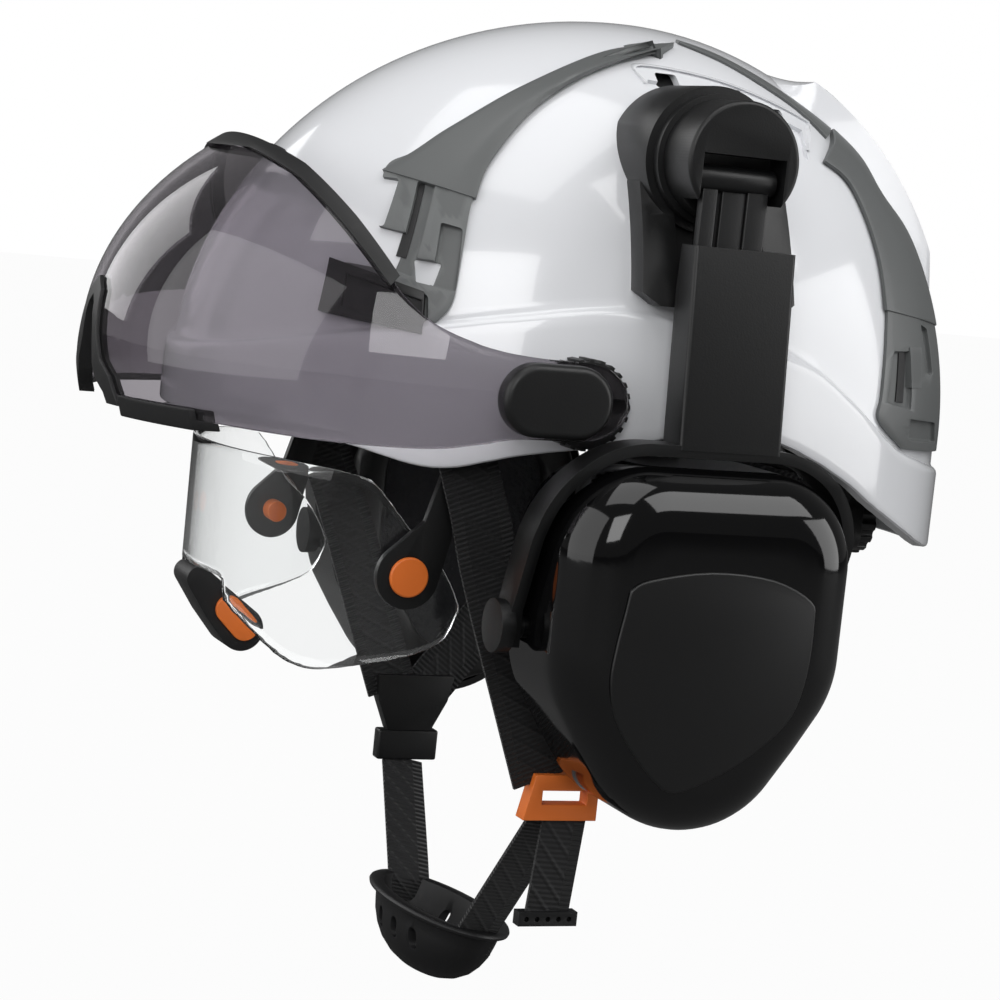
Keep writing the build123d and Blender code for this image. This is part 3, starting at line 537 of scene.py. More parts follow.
shell = dict(centreY=4, seam=-9, width=107, front=155, rear=136, height=138, wall=3, lip=2.5, columns=224)
rim = [(-175, -19), (-150, -20), (-116, -22), (-87, -27), (-60, -20), (-28, -14), (-4, -9), (12, -8), (30, -10),
       (45, -15), (63, -23), (84, -34), (123, -49), (165, -51)]
crease = [(-175, -2), (-150, 4), (-120, 13), (-90, 20), (-63, 26), (-31, 31), (-6, 28), (37, 19), (61, 6), (83, -8),
          (100, -14), (130, -20), (165, -22)]
rimHeight, creaseHeight = table(rim), table(crease)


def domePoint(turn, z, proud=0.0):
    # on the shell's outside grown by proud, at a height, on the meridian at that plan angle
    rise = max(z - shell["seam"], 0) / (shell["height"] + proud)
    shrink = math.sqrt(max(1 - rise * rise, 0))
    length = (shell["front"] if math.sin(turn) < 0 else shell["rear"]) + proud
    return ((shell["width"] + proud) * math.cos(turn) * shrink,
            shell["centreY"] + length * math.sin(turn) * shrink, z)


def lineOnDome(turn, height, proud):
    # where a meridian meets a side line
    low, high = -80.0, 90.0
    for _ in range(halvings):
        z = (low + high) / 2
        if z < height(domePoint(turn, z, proud)[1]):
            low = z
        else:
            high = z
    return z


def onShell(y, z, proud=0.0):
    # the left side's point of the shell seen at that place from the side
    length = (shell["front"] if y < shell["centreY"] else shell["rear"]) + proud
    left = 1 - ((y - shell["centreY"]) / length) ** 2 - (max(z - shell["seam"], 0) / (shell["height"] + proud)) ** 2
    return ((shell["width"] + proud) * math.sqrt(max(left, 0)), y, z)


def onTop(x, y, proud=0.0):
    length = (shell["front"] if y < shell["centreY"] else shell["rear"]) + proud
    left = 1 - ((y - shell["centreY"]) / length) ** 2 - (x / (shell["width"] + proud)) ** 2
    return (x, y, shell["seam"] + (shell["height"] + proud) * math.sqrt(max(left, 0)))


def shellRows(turn):
    top = shell["seam"] + shell["height"]
    fold = lineOnDome(turn, creaseHeight, 0)
    rows = []
    for step in range(44):
        lift = math.radians(90 - 90 * step / 44)
        z = fold + (top - fold) * math.sin(lift)
        rows.append((z, 0.0))
    lip = shell["lip"]
    rows += [(fold + 0.35, 0.05), (fold - 0.3, 0.4), (fold - 0.9, 1.3), (fold - 1.7, 2.1), (fold - 2.9, lip)]
    edge = lineOnDome(turn, rimHeight, lip)
    start = fold - 2.9
    rows += [(start + (edge + 1.4 - start) * step / 12, lip) for step in range(1, 13)]
    rows += [(edge + 0.5, lip - 0.3), (edge, lip - 1.0), (edge, -shell["wall"] + 0.7), (edge + 0.6, -shell["wall"])]
    inside = top - shell["wall"]
    foot = edge + 0.6
    for step in range(1, 25):
        rows.append((foot + (inside - foot) * math.sin(math.radians(90 * step / 24)), -shell["wall"]))
    return rows


def makeShell():
    columns = shell["columns"]
    profiles = [shellRows(2 * math.pi * (column % columns) / columns) for column in range(columns + 1)]
    count = len(profiles[0]) - 1

    def place(u, v):
        column, row = round(u * columns), round(v * count)
        z, proud = profiles[column][row]
        return domePoint(2 * math.pi * (column % columns) / columns, z, proud)

    piece = weld(gridSheet("helmet_shell", columns, count, place))
    return piece


def patch(name, edgeA, edgeB, columns, rows, proud):
    # a strip of the shell's side between two side lines; proud is its height above the shell, across the strip
    def place(u, v):
        a, b = smoothLine(edgeA, u), smoothLine(edgeB, u)
        y, z = a[0] + (b[0] - a[0]) * v, a[1] + (b[1] - a[1]) * v
        return onShell(y, z, proud(u, v) if callable(proud) else proud)
    return gridSheet(name, columns, rows, place)


def block(name, corners, low, high, columns=6, rows=6):
    # a solid piece of the layer between two heights above the shell, inside four side-view corners
    a, b, c, d = corners

    def place(u, v):
        y = (a[0] * (1 - u) + b[0] * u) * (1 - v) + (d[0] * (1 - u) + c[0] * u) * v
        z = (a[1] * (1 - u) + b[1] * u) * (1 - v) + (d[1] * (1 - u) + c[1] * u) * v
        return onShell(y, z, high)
    piece = gridSheet(name, columns, rows, place)
    faceOut(piece)
    return thicken(piece, high - low, -1)


def faceOut(piece, middle=(0, 4, 0)):
    # an open sheet's faces turned away from the head's middle
    mesh = piece.data
    face = mesh.polygons[len(mesh.polygons) // 2]
    if face.normal.dot(face.center - Vector(middle) * mm) < 0:
        mesh.flip_normals()
    return piece


ventRecess = [[(-10, 112.5), (20, 110), (53, 101)], [(-13, 106), (20, 101), (51, 90)]]
ventHoles = [
    # middle in side view, length, height
    ((-2.0, 108.2), 8.0, 5.0), ((20.0, 105.8), 15.0, 4.5), ((39.5, 100.0), 8.0, 6.0)]

helmetShell = makeShell()
for side in (1, -1):
    cutter = patch("ventCut", ventRecess[0], ventRecess[1], 24, 6, 6)
    if side < 0:
        for vertex in cutter.data.vertices:
            vertex.co.x = -vertex.co.x
    thicken(faceOut(cutter), 7.5, -1)
    cutBy(helmetShell, cutter)
    for (y, z), long, tall in ventHoles:
        x = onShell(y, z)[0] * side
        cutBy(helmetShell, boxAt("ventHole", (x, y, z), (24, long, tall), bevel=0.9))
finish(helmetShell, "shell_white", "helmet", ["outer_shell"], 28)

ventLip = patch("vent_lip_left", [(-12, 106.5), (-11.5, 113.4), (20, 111.2), (54, 102.2), (56.5, 98.5), (51, 89.5)],
                [(-10.4, 106.8), (-10, 112.2), (20, 109.8), (52.6, 100.8), (54, 98), (49.4, 90)], 60, 3,
                lambda u, v: 0.9 if 0.2 < v < 0.8 else -0.3)
faceOut(ventLip)
ventLipRight = mirrored(ventLip, "vent_lip_right")
for piece in (ventLip, ventLipRight):
    finish(piece, "shell_white", "helmet", (), 60)
for index, ((y, z), long, tall) in enumerate(ventHoles):
    corners = [(y - long * 0.75, z + tall), (y + long * 0.75, z + tall), (y + long * 0.75, z - tall),
               (y - long * 0.75, z - tall)]
    meshLeft = block("vent_mesh_left_%d" % index, corners, -4.6, -3.4)
    meshRight = mirrored(meshLeft, "vent_mesh_right_%d" % index)
    finish(meshLeft, "black_satin", "helmet", ["vent_mesh"] if index == 0 else ())
    finish(meshRight, "black_satin", "helmet")

humpPlan = [(40, 34), (62, 41), (90, 37), (140, 27)]
humpCap = [(44, 121), (57, 118.5), (93, 106), (103, 101), (117, 90), (129, 75), (135, 62)]


def humpPlace(u, v):
    y = 50 + 82 * v
    side = 2 * u - 1
    x = side * between(humpPlan, y)
    ground = onTop(x, y, -1)[2]
    top = min(onTop(x * 0.96, y, 8)[2], between(humpCap, y))
    edge = min(1, (1 - abs(side)) / 0.12) * min(1, (1 - v) / 0.05) * min(1, v / 0.2)
    return (x, y, ground + max(top - ground, 0) * edge)


hump = faceOut(gridSheet("shell_hump", 48, 40, humpPlace))
finish(hump, "shell_white", "helmet", (), 25)


print("stage: trims")

frontTrim = dict(
    outer=[(8, 122.5), (-22, 116), (-54, 101), (-79, 85), (-92, 75), (-101, 68), (-105, 48), (-112, 40), (-119, 24)],
    inner=[(-7, 118), (-33, 107), (-54, 93), (-70, 75), (-77, 61), (-81, 44), (-84, 28), (-88, 21.5), (-90, 20)],
    ridge=0.66, low=1.6, high=2.9, wall=3.0)
frontCuts = [
    # corners in side view, bottom of the cut
    ([(-114, 68.4), (-99.8, 67.6), (-105.8, 51.2), (-120, 52)], -1),
    ([(-120, 53.5), (-98.8, 49.6), (-103.5, 36.2), (-124, 38.5)], -1),
    ([(-94.4, 67.3), (-89.2, 67.3), (-98.2, 35.0), (-103.3, 36.6)], 0.3),
    ([(-88.8, 54.0), (-82.4, 53.0), (-85.3, 31.8), (-92.7, 32.9)], 0.5),
    ([(-97.6, 41.6), (-89.4, 41.0), (-92.2, 32.8), (-97.2, 33.6)], -1),
    ([(-118.6, 36.8), (-93.4, 29.6), (-93.4, 17.0), (-121, 20.6)], 0.4),
]


def ridged(low, high, at):
    def proud(u, v):
        return low + (high - low) * (v / at if v < at else (1 - v) / (1 - at))
    return proud


def makeTrim(name, edges, cuts=(), columns=72, rows=12):
    proud = ridged(edges["low"], edges["high"], edges["ridge"])
    piece = patch(name, edges["outer"], edges["inner"], columns, rows, proud)
    faceOut(piece)
    thicken(piece, edges["wall"], -1)
    for corners, low in cuts:
        cutter = block("trimCut", corners, low, 6)
        roundOff(cutter, 1.0, 3, 60)
        cutBy(piece, cutter)
    roundOff(piece, 0.45, 2, 40)
    return piece


trimLeft = makeTrim("front_trim_left_shape", frontTrim, frontCuts)
trimRight = mirrored(trimLeft, "front_trim_right_shape")
finish(trimLeft, "trim_grey", "helmet", ["front_trim_left"])
finish(trimRight, "trim_grey", "helmet", ["front_trim_right"])

frontCap = dict(
    outer=[(8, 122.8), (-22, 116.3), (-54, 101.3), (-79, 85.3), (-92, 75.3), (-101.8, 68.0)],
    inner=[(-7, 117.6), (-33, 106.6), (-54, 92.6), (-70, 74.6), (-76, 61.8)],
    ridge=0.66, low=2.0, high=3.6, wall=1.6)
capLeft = makeTrim("front_cap_left", frontCap, (), 60, 10)
slotShadeBlocks = [
    # painted shadow: thin black blocks on the slot floors stand in for the shade in the slot channels
    ([(-91.8, 66.8), (-89.4, 66.8), (-97.2, 40.0), (-100.0, 40.4)], 0.2, 0.7),
    ([(-88.6, 53.4), (-86.6, 53.2), (-90.6, 40.0), (-92.2, 40.4)], 0.4, 0.9),
]
for index, (corners, low, high) in enumerate(slotShadeBlocks):
    # painted shadow: the black rubber finish darkens the slot channels where there is only shade
    slotShadeLeft = block("front_slot_shade_left_%d" % index, corners, low, high)
    slotShadeRight = mirrored(slotShadeLeft, "front_slot_shade_right_%d" % index)
    finish(slotShadeLeft, "seal_rubber", "helmet")
    finish(slotShadeRight, "seal_rubber", "helmet")
capRight = mirrored(capLeft, "front_cap_right")
for piece in (capLeft, capRight):
    finish(piece, "trim_grey", "helmet")

rearTrim = dict(
    outer=[(71, 99), (84, 90), (90, 77), (111, 60), (125, 30), (131, 0), (131, -14)],
    inner=[(57, 87), (69, 79.5), (77, 58), (79.5, 41), (78.6, 27), (77, 8), (76.6, -1), (92, -11)],
    ridge=0.5, low=1.3, high=2.6, wall=2.8)
rearCuts = [
    ([(84.6, 24.2), (95.8, 24.3), (96.3, 3.2), (81.6, 5.9)], 0.5),
    ([(102.4, 33.9), (108.4, 32.3), (112.6, 15.6), (106.1, 16.2)], 0.3),
    ([(96.4, 0.0), (118.2, -2.1), (120.0, -9.8), (97.0, -7.7)], 0.5),
]
rearLeft = makeTrim("rear_trim_left_shape", rearTrim, rearCuts, 60, 10)
rearRight = mirrored(rearLeft, "rear_trim_right_shape")
rearCap = dict(outer=[(71, 99.4), (84, 90.4), (90.4, 77.4), (111.4, 60.4), (123.6, 32)],
               inner=[(56.6, 87), (68.6, 79.5), (76.6, 58), (78.6, 37.5)], ridge=0.45, low=2.0, high=3.3, wall=1.6)
rearPieces = [(makeTrim("rear_cap_left", rearCap, (), 48, 8), "rear_cap_right", "trim_grey"),
              (block("rear_finger_left", [(91.7, 25.0), (100.2, 25.0), (100.2, 10.8), (93.2, 10.9)], 0.4, 2.6),
               "rear_finger_right", "trim_grey"),
              # painted shadow: a thin black block in the rear slot channel stands in for the shade there
              (block("rear_slot_left", [(86.2, 23), (90.2, 23), (89.8, 5.4), (85.2, 5.8)], 0.4, 0.9),
               "rear_slot_right", "seal_rubber")]
for piece, twinName, finishName in rearPieces:
    finish(mirrored(piece, twinName), finishName, "helmet")
    finish(piece, finishName, "helmet")
finish(rearLeft, "trim_grey", "helmet", ["rear_trim_left"])
finish(rearRight, "trim_grey", "helmet", ["rear_trim_right"])

crownStrip = dict(outer=[(12, 124.4), (26, 120.8), (40, 114.8), (56, 107.0), (71, 99.2)],
                  inner=[(12, 123.2), (26, 118.4), (40, 111.6), (54, 104.0), (64, 95.5)],
                  ridge=0.5, low=1.0, high=1.4, wall=2.0)
stripLeft = makeTrim("crown_strip_left", crownStrip, (), 32, 3)
stripRight = mirrored(stripLeft, "crown_strip_right")
for piece in (stripLeft, stripRight):
    finish(piece, "trim_grey", "helmet")

coverCorners = [(-119.0, 37.4), (-93.0, 29.9), (-93.6, 16.0), (-122.4, 19.9)]
coverLeft = block("slot_cover_left", coverCorners, 0.2, 3.2)
cutBy(coverLeft, block("coverCut", [(-116.4, 33.6), (-95.2, 27.6), (-95.4, 19.0), (-118.0, 22.8)], 1.9, 6))
roundOff(coverLeft, 0.6, 3, 50)
coverRight = mirrored(coverLeft, "slot_cover_right")
finish(coverLeft, "black_satin", "helmet", ["slot_covers"])
finish(coverRight, "black_satin", "helmet")


print("stage: visor")

visor = dict(centre=(0, -50, 0), radii=(117, 133, 99), wall=2.5, rear=-30.6, columns=150, rows=26)
visorTop = [(-200, 74), (-139, 74), (-130, 66), (-120, 51), (-108, 31), (-99, 22), (-84, 16), (-68, 13.5),
            (-45, 12.6), (-36, 9.5), (-32, 4), (-30.4, -1)]
visorFoot = [(-200, -17), (-162, -19), (-125, -20), (-96, -19), (-80, -16), (-68, -13.4), (-45, -12.4), (-36, -9.5),
             (-32, -5), (-30.4, -1)]
noseNotch = [(-27, -25), (-21, -14), (-13, -9), (-8, 2), (-4, 15), (0, 18), (4, 15), (8, 2), (13, -9), (21, -14),
             (27, -25)]
topHeight = table(visorTop, -200, 0)
footHeight = table(visorFoot, -200, 0)


def onVisor(turn, z, grow=0.0):
    # turn is zero at the front and runs towards the wearer's left
    a, b, c = (radius + grow for radius in visor["radii"])
    shrink = math.sqrt(max(1 - (z / c) ** 2, 0))
    return (a * math.sin(turn) * shrink, visor["centre"][1] - b * math.cos(turn) * shrink, z)


def visorEdge(turn, height, low, high):
    for _ in range(26):
        z = (low + high) / 2
        if z < height(onVisor(turn, z)[1]):
            low = z
        else:
            high = z
    return z


def visorSpan(turn):
    top = visorEdge(turn, topHeight, -1.0, 76.0)
    low, high = -30.0, -1.0
    foot = visorEdge(turn, footHeight, low, high)
    x = onVisor(turn, -10)[0]
    if abs(x) < 27:
        foot = max(foot, between(noseNotch, x))
    return foot, top


visorEnd = math.acos((visor["centre"][1] - visor["rear"]) / visor["radii"][1])
visorTurns = []
for step in range(visor["columns"] + 1):
    share = 2 * step / visor["columns"] - 1
    bend = 0.75 * share + 0.25 * math.sin(share * math.pi / 2)
    visorTurns.append(bend * visorEnd)
visorSpans = [visorSpan(turn) for turn in visorTurns]


def visorPlace(u, v):
    column = round(u * visor["columns"])
    foot, top = visorSpans[column]
    return onVisor(visorTurns[column], foot + (top - foot) * v)


visorLens = faceOut(gridSheet("visor_lens_shape", visor["columns"], visor["rows"], visorPlace), (0, -50, 0))
thicken(visorLens, visor["wall"], -1)
roundOff(visorLens, 0.5, 2, 50)
finish(visorLens, "smoked_lens", "visor", ["visor_lens"], 40)


for node in ("visor_top_seal", "visor_nose_trim", "visor_tab"):
    dressed(node, 0.5, 2)
dressed("visor_knobs", 0.8, 3)
dressed("visor_brackets", 0.4, 2)


print("stage: goggle")

goggleLow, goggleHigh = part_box("goggle_lens")
goggle = dict(centreY=-70, half=goggleHigh.x / mm, reach=-70 - goggleLow.y / mm, wall=2.0, rear=-66.3, columns=120,
              rows=16)
shift = goggle["reach"] - 76
lensTop = [(-160, -31), (-121, -32), (-103, -34), (-97, -37), (-86, -50), (-75, -61), (-68.5, -70), (-66.2, -76)]
lensFoot = [(-160, -76), (-143 - shift, -76), (-141 - shift, -84), (-130 - shift, -96), (-124 - shift, -100),
            (-111, -101), (-99, -98), (-85, -94), (-75, -90), (-69, -85), (-66.2, -76)]


def onGoggle(turn, z, grow=0.0):
    return ((goggle["half"] + grow) * math.sin(turn),
            goggle["centreY"] - (goggle["reach"] + grow) * math.cos(turn), z)


lensEnd = math.pi - math.acos((goggle["rear"] - goggle["centreY"]) / goggle["reach"])
lensTopHeight, lensFootHeight = table(lensTop, -170, 0), table(lensFoot, -170, 0)


def lensPlace(u, v):
    turn = (2 * u - 1) * lensEnd
    y = onGoggle(turn, 0)[1]
    foot, top = lensFootHeight(y), lensTopHeight(y)
    return onGoggle(turn, foot + (top - foot) * v)


goggleLens = faceOut(gridSheet("goggle_lens_shape", goggle["columns"], goggle["rows"], lensPlace), (0, -70, -65))
thicken(goggleLens, goggle["wall"], -1)
roundOff(goggleLens, 0.55, 2, 50)
finish(goggleLens, "clear_lens", "goggle", ["goggle_lens"], 40)
dressed("goggle_arms", 0.9, 3)
dressed("goggle_studs", 0.5, 3)
dressed("nose_piece", 1.6, 3)
dressed("nose_button", 0.7, 3)
dressed("goggle_rails", 0.5, 2)


print("stage: ear muffs")

cup = dict(middle=-4, pinHeight=-76, back=94, face=145, round=19, wall=2.6, columns=144)
cupCircles = [(-22, -48, 30), (22, -48, 30), (-13, -78, 39), (13, -78, 39), (0, -101, 37)]
shield = [(-37.6, -56.0), (-31.1, -52.4), (-9.5, -48.9), (13.1, -50.5), (27.6, -56.9), (29.6, -64.1), (29.2, -80.7),
          (25.2, -95.2), (15.1, -106.2), (1.7, -115.2), (-14.0, -121.4), (-22.2, -117.5), (-32.0, -107.0),
          (-38.5, -96.6), (-41.2, -85.5), (-40.4, -74.3), (-38.6, -63.0)]


def cupEdge(turn, inset):
    # the outermost point of the wrapped circles in one direction from the cup's middle
    centre = (cup["middle"], cup["pinHeight"])
    step = (math.cos(turn), math.sin(turn))
    low, high = 0.0, 90.0
    for _ in range(halvings):
        reach = (low + high) / 2
        point = (centre[0] + step[0] * reach, centre[1] + step[1] * reach)
        if insideCup(point, inset):
            low = reach
        else:
            high = reach
    return centre[0] + step[0] * low, centre[1] + step[1] * low


hullNormals = [(math.cos(math.radians(a * 2.5)), math.sin(math.radians(a * 2.5))) for a in range(144)]
hullReach = [max(n[0] * (y + cup["middle"]) + n[1] * z + r for y, z, r in cupCircles) for n in hullNormals]


def insideCup(point, inset):
    return all(n[0] * point[0] + n[1] * point[1] <= reach - inset for n, reach in zip(hullNormals, hullReach))


def cupRows():
    rows = [(0, cup["back"]), (0, cup["back"] + 4), (0, cup["back"] + 12), (0, cup["face"] - cup["round"] - 4)]
    for step in range(13):
        lift = math.radians(90 * step / 12)
        rows.append((cup["round"] * (1 - math.cos(lift)), cup["face"] - cup["round"] * (1 - math.sin(lift))))
    return rows


def makeCup():
    rows = cupRows()
    turns = [2 * math.pi * column / cup["columns"] for column in range(cup["columns"] + 1)]
    edges = {}
    for inset in {inset for inset, x in rows}:
        edges[inset] = [cupEdge(turn, inset) for turn in turns[:-1]]
    count = len(rows) - 1 + 6

    def place(u, v):
        column, row = round(u * cup["columns"]) % cup["columns"], round(v * count)
        inset, x = rows[min(row, len(rows) - 1)]
        y, z = edges[inset][column]
        share = max(row - len(rows) + 1, 0) / 6
        return (x, y + (cup["middle"] - y) * share, z + (cup["pinHeight"] - z) * share)
    piece = weld(gridSheet("muff_cup_left_shape", cup["columns"], count, place), 0.005)
    thicken(piece, cup["wall"], -1)
    return piece


cupLeft = makeCup()
cupRight = mirrored(cupLeft, "muff_cup_right_shape")
finish(cupLeft, "black_gloss", "cup_left", ["muff_cup_left"], 50)
finish(cupRight, "black_gloss", "cup_right", ["muff_cup_right"], 50)


def outlinePlate(name, outline, count, x, thickness, bevel):
    # a plate with a smooth closed side-view outline, facing the wearer's left
    deselect()
    bpy.ops.mesh.primitive_circle_add(vertices=count, radius=1, fill_type="NGON")
    piece = bpy.context.object
    piece.name = piece.data.name = name
    closed = outline + outline[:1]
    for index, vertex in enumerate(piece.data.vertices):
        y, z = smoothLine(closed, index / count)
        vertex.co = Vector((x, y, z)) * mm
    faceOut(piece, (0, 0, cup["pinHeight"]))
    bpy.ops.object.mode_set(mode="EDIT")
    bpy.ops.mesh.select_all(action="SELECT")
    bpy.ops.mesh.extrude_region_move(TRANSFORM_OT_translate=dict(value=(thickness * mm, 0, 0)))
    bpy.ops.mesh.select_all(action="SELECT")
    bpy.ops.mesh.normals_make_consistent(inside=False)
    bpy.ops.object.mode_set(mode="OBJECT")
    return roundOff(piece, bevel, 3, 50)


panelLeft = outlinePlate("muff_panel_left_shape", shield, 68, 144.4, 1.8, 0.7)
panelRight = mirrored(panelLeft, "muff_panel_right_shape")
finish(panelLeft, "panel_black", "cup_left", ["muff_panel_left"], 50, "black_gloss")
finish(panelRight, "panel_black", "cup_right", ["muff_panel_right"], 50, "black_gloss")

arm = dict(
    hinge=(117, -3, 76), hingeRadius=4.3, hingeLength=27.6, top=73.5, foot=1.0, bevel=0.5,
    # Y from, Y to, X to
    strips=[(-15.0, -9.4, 119.5), (-15.0, 9.0, 117.0), (-7.4, 1.4, 118.6), (1.4, 9.0, 119.5)], back=115.6)


def joined(pieces, name):
    pick(pieces[0])
    for piece in pieces[1:]:
        piece.select_set(True)
    bpy.ops.object.join()
    pieces[0].name = pieces[0].data.name = name
    return pieces[0]


def makeArm():
    deselect()
    bpy.ops.mesh.primitive_cylinder_add(vertices=48, radius=arm["hingeRadius"] * mm, depth=arm["hingeLength"] * mm,
                                        location=Vector(arm["hinge"]) * mm, rotation=(math.pi / 2, 0, 0))
    parts = [roundOff(settle(bpy.context.object), 0.4, 2)]
    middle, tall = (arm["top"] + arm["foot"]) / 2, arm["top"] - arm["foot"]
    for near, far, face in arm["strips"]:
        parts.append(boxAt("strip", ((arm["back"] + face) / 2, (near + far) / 2, middle),
                           (face - arm["back"], far - near, tall), bevel=arm["bevel"]))
    return joined(parts, "muff_arm_left_shape")


armLeft = makeArm()
armRight = mirrored(armLeft, "muff_arm_right_shape")
finish(armLeft, "black_satin", "arm_left", ["muff_arm_left"])
finish(armRight, "black_satin", "arm_right", ["muff_arm_right"])

for side in ("left", "right"):
    dressed("muff_mount_" + side, 0.7, 3)
    dressed("muff_turret_" + side, 0.5, 3)
    dressed("muff_yoke_" + side, 0.7, 3)


print("stage: pads")


def stuffed(node, voxel, pressure, cap):
    # a pad blown up like a cushion inside its cover; each point may move by cap millimetres at most
    piece = copied(node + "_pad", node)
    applied(piece, "REMESH", mode="VOXEL", voxel_size=voxel * mm)
    start = [vertex.co.copy() for vertex in piece.data.vertices]
    cloth = piece.modifiers.new("swell", "CLOTH")
    cloth.settings.use_pressure = True
    cloth.settings.uniform_pressure_force = pressure
    cloth.settings.effector_weights.gravity = 0
    cloth.settings.quality = 4
    scene = bpy.context.scene
    for moment in range(1, 21):
        scene.frame_set(moment)
    swollen = piece.evaluated_get(bpy.context.evaluated_depsgraph_get())
    places = [vertex.co.copy() for vertex in swollen.data.vertices]
    piece.modifiers.remove(cloth)
    scene.frame_set(1)
    for vertex, before, after in zip(piece.data.vertices, start, places):
        step = after - before
        if step.length > cap * mm:
            step *= cap * mm / step.length
        vertex.co = before + step
    applied(piece, "SMOOTH", factor=0.5, iterations=4)
    applied(piece, "SUBSURF", levels=1, render_levels=1)
    finish(piece, slotOf[node], bodyOf[node], [node], 60)
    return piece


for side in ("left", "right"):
    stuffed("muff_cushion_" + side, 2.8, 4, 2.0)
    foam = dressed("muff_foam_" + side, 1.5, 2)
stuffed("brow_pad", 3.0, 4, 1.2)
stuffed("nape_pad", 2.6, 4, 1.0)


print("stage: webbing")

frontLine = [(85, -4), (84.2, -20), (82.6, -44), (78, -62), (76.6, -80), (75.8, -142)]
rearLine = [(84, -4), (82.4, -20), (79.8, -45), (77, -80), (76, -142)]
strap = dict(width=20, narrow=16, thickness=1.5, rows=10, hungSteps=60)


def alongLine(line, z):
    # X of an (X, Z) line that falls, at a height
    return between([(-height, x) for x, height in line], -z)


def pathLength(place, count):
    # along the middle of a webbing
    steps = [place(step / count, 0.5) for step in range(count + 1)]
    return sum((Vector(b) - Vector(a)).length for a, b in zip(steps, steps[1:]))


def ribbon(name, width, count, place, length, finishName, body, replaced=()):
    piece = gridSheet(name, count, strap["rows"], place)
    for loop in piece.data.uv_layers.active.data:
        loop.uv = (loop.uv[1] * width * mm, loop.uv[0] * length * mm)
    faceOut(piece, (0, 0, 0))
    thicken(piece, strap["thickness"], 0)
    finish(piece, finishName, body, replaced, 60)
    return piece


def hangingRibbon(name, run, line, width):
    # flat webbing along a side-view run, its X taken from a front-view line
    (ya, za), (yb, zb) = run
    span = math.hypot(yb - ya, zb - za)
    across = ((zb - za) / span, -(yb - ya) / span)

    def place(u, v):
        y = ya + (yb - ya) * u + across[0] * (v - 0.5) * width
        z = za + (zb - za) * u + across[1] * (v - 0.5) * width
        return (alongLine(line, z), y, z)
    return ribbon(name, width, strap["hungSteps"], place, pathLength(place, strap["hungSteps"]), "webbing_black",
                  "helmet", [name.replace("_web", "")])


def turnedOver(line):
    return [(-x, z) for x, z in line]


strapRuns = [
    ("strap_front", [(-78.6, -9.5), (-31, -134)], frontLine, strap["width"]),
    ("strap_rear", [(75.5, -11.3), (-17, -134)], rearLine, strap["width"]),
]
for name, run, line, width in strapRuns:
    hangingRibbon(name + "_left_web", run, line, width)
    hangingRibbon(name + "_right_web", run, turnedOver(line), width)
hangingRibbon("chin_strap_left_web", [(-25, -147), (-33, -208)], [(75, -146.5), (41, -193), (36, -200), (34.5, -208)],
              strap["narrow"])
hangingRibbon("chin_strap_right_web", [(-24, -162), (-33, -208)],
              [(-75, -162.5), (-42, -194), (-36, -200), (-34.5, -208)], strap["narrow"])
hangingRibbon("strap_tail_web", [(-21, -146), (-24, -184)], [(77.5, -147), (77, -184)], strap["narrow"])

cradle = dict(centreY=4, seam=-9, width=84, length=112, height=110, clip=20, steps=90)


def cradleRibbon(index, degrees):
    along = (math.cos(math.radians(degrees)), math.sin(math.radians(degrees)))
    inset = 0.75 + 1.55 * index
    half, reach, rise = cradle["width"] - inset, cradle["length"] - inset, cradle["height"] - inset
    level = 1 - ((cradle["clip"] - cradle["seam"]) / rise) ** 2

    def place(u, v):
        aside = (v - 0.5) * strap["width"]
        a = (along[0] / half) ** 2 + (along[1] / reach) ** 2
        b = aside * along[0] * along[1] * (1 / reach ** 2 - 1 / half ** 2)
        c = aside ** 2 * ((along[1] / half) ** 2 + (along[0] / reach) ** 2) - level
        root = math.sqrt(b * b - a * c)
        r = -b / a + root / a * math.sin(math.pi * (u - 0.5))
        x, y = along[0] * r - along[1] * aside, along[1] * r + along[0] * aside
        up = 1 - (x / half) ** 2 - (y / reach) ** 2
        return (x, y + cradle["centreY"], cradle["seam"] + rise * math.sqrt(max(up, 0)))
    ribbon("cradle_web_%d" % (index + 1), strap["width"], cradle["steps"], place, pathLength(place, cradle["steps"]),
           "webbing_black", "helmet", ["suspension_webbing"])


for index, degrees in enumerate((0, 60, 120)):
    cradleRibbon(index, degrees)


print("stage: chin cup")

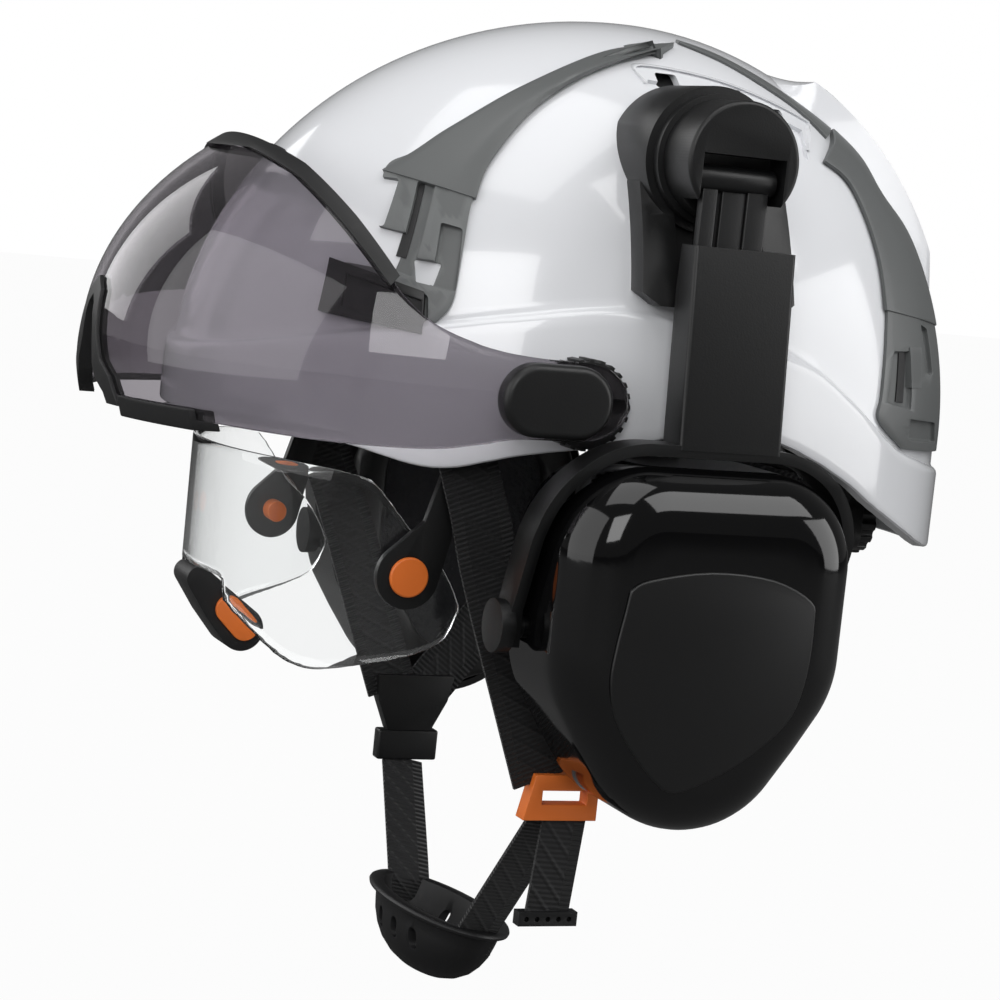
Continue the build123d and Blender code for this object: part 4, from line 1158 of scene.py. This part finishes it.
chin = dict(
    centre=(0, -33, -201), radii=(40, 20), lean=-10, columns=112, vents=(-20, -7, 7, 20), ventSize=(4.6, 70, 7.6),
    # section from the inside floor over the flange to the underside: share of the radii, steps out, height
    section=[(0, 0, -20.7), (0.25, -0.5, -20.5), (0.45, -1.5, -19.6), (0.62, -2.2, -17.6), (0.78, -2.4, -13.6),
             (0.88, -2.4, -9.5), (0.95, -2.4, -5), (1, -2.4, 0.6), (1, -2.1, 2.0), (1, -1.3, 2.5), (1, 2.4, 2.4),
             (1, 3.2, 1.9), (1, 3.5, 1.2), (1, 3.2, 0.4), (1, 2.4, 0), (1, 0.7, -0.3), (1, 0.1, -1.0), (0.97, 0, -5),
             (0.93, 0, -9), (0.85, 0, -13.2), (0.74, 0, -17), (0.58, 0, -20.3), (0.42, 0, -22.2), (0.22, 0, -23),
             (0, 0, -23.1)])


def makeChinCup():
    section, (x, y, z) = chin["section"], chin["centre"]
    lean = math.radians(chin["lean"])

    def place(u, v):
        share, out, height = section[round(v * (len(section) - 1))]
        turn = 2 * math.pi * (round(u * chin["columns"]) % chin["columns"]) / chin["columns"]
        grow = out if share else 0
        across, along = ((radius * share + grow) * wave for radius, wave in
                         zip(chin["radii"], (math.cos(turn), math.sin(turn))))
        return (across, along, height)
    piece = weld(gridSheet("chin_cup_shape", chin["columns"], len(section) - 1, place))
    for vent in chin["vents"]:
        cutBy(piece, boxAt("chinVent", (vent, 0, -8.5), chin["ventSize"], bevel=2.2))
    roundOff(piece, 0.3, 2, 50)
    piece.rotation_euler = (lean, 0, 0)
    piece.location = Vector((x, y, z)) * mm
    return settle(piece)


finish(makeChinCup(), "seal_rubber", bodyOf["chin_cup"], ["chin_cup"], 40, slotOf["chin_cup"])

print("stage: other pieces")

done = {name for piece in bpy.data.objects for name in piece.get("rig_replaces", [])}
edgeWidths = dict(strap_adjuster=1.0, buckle_female=1.2, buckle_male=1.0, strap_keeper=0.8)
for node in sorted(nodes):
    if node not in done:
        dressed(node, edgeWidths.get(node, 0.4), 3 if node in edgeWidths else 2)
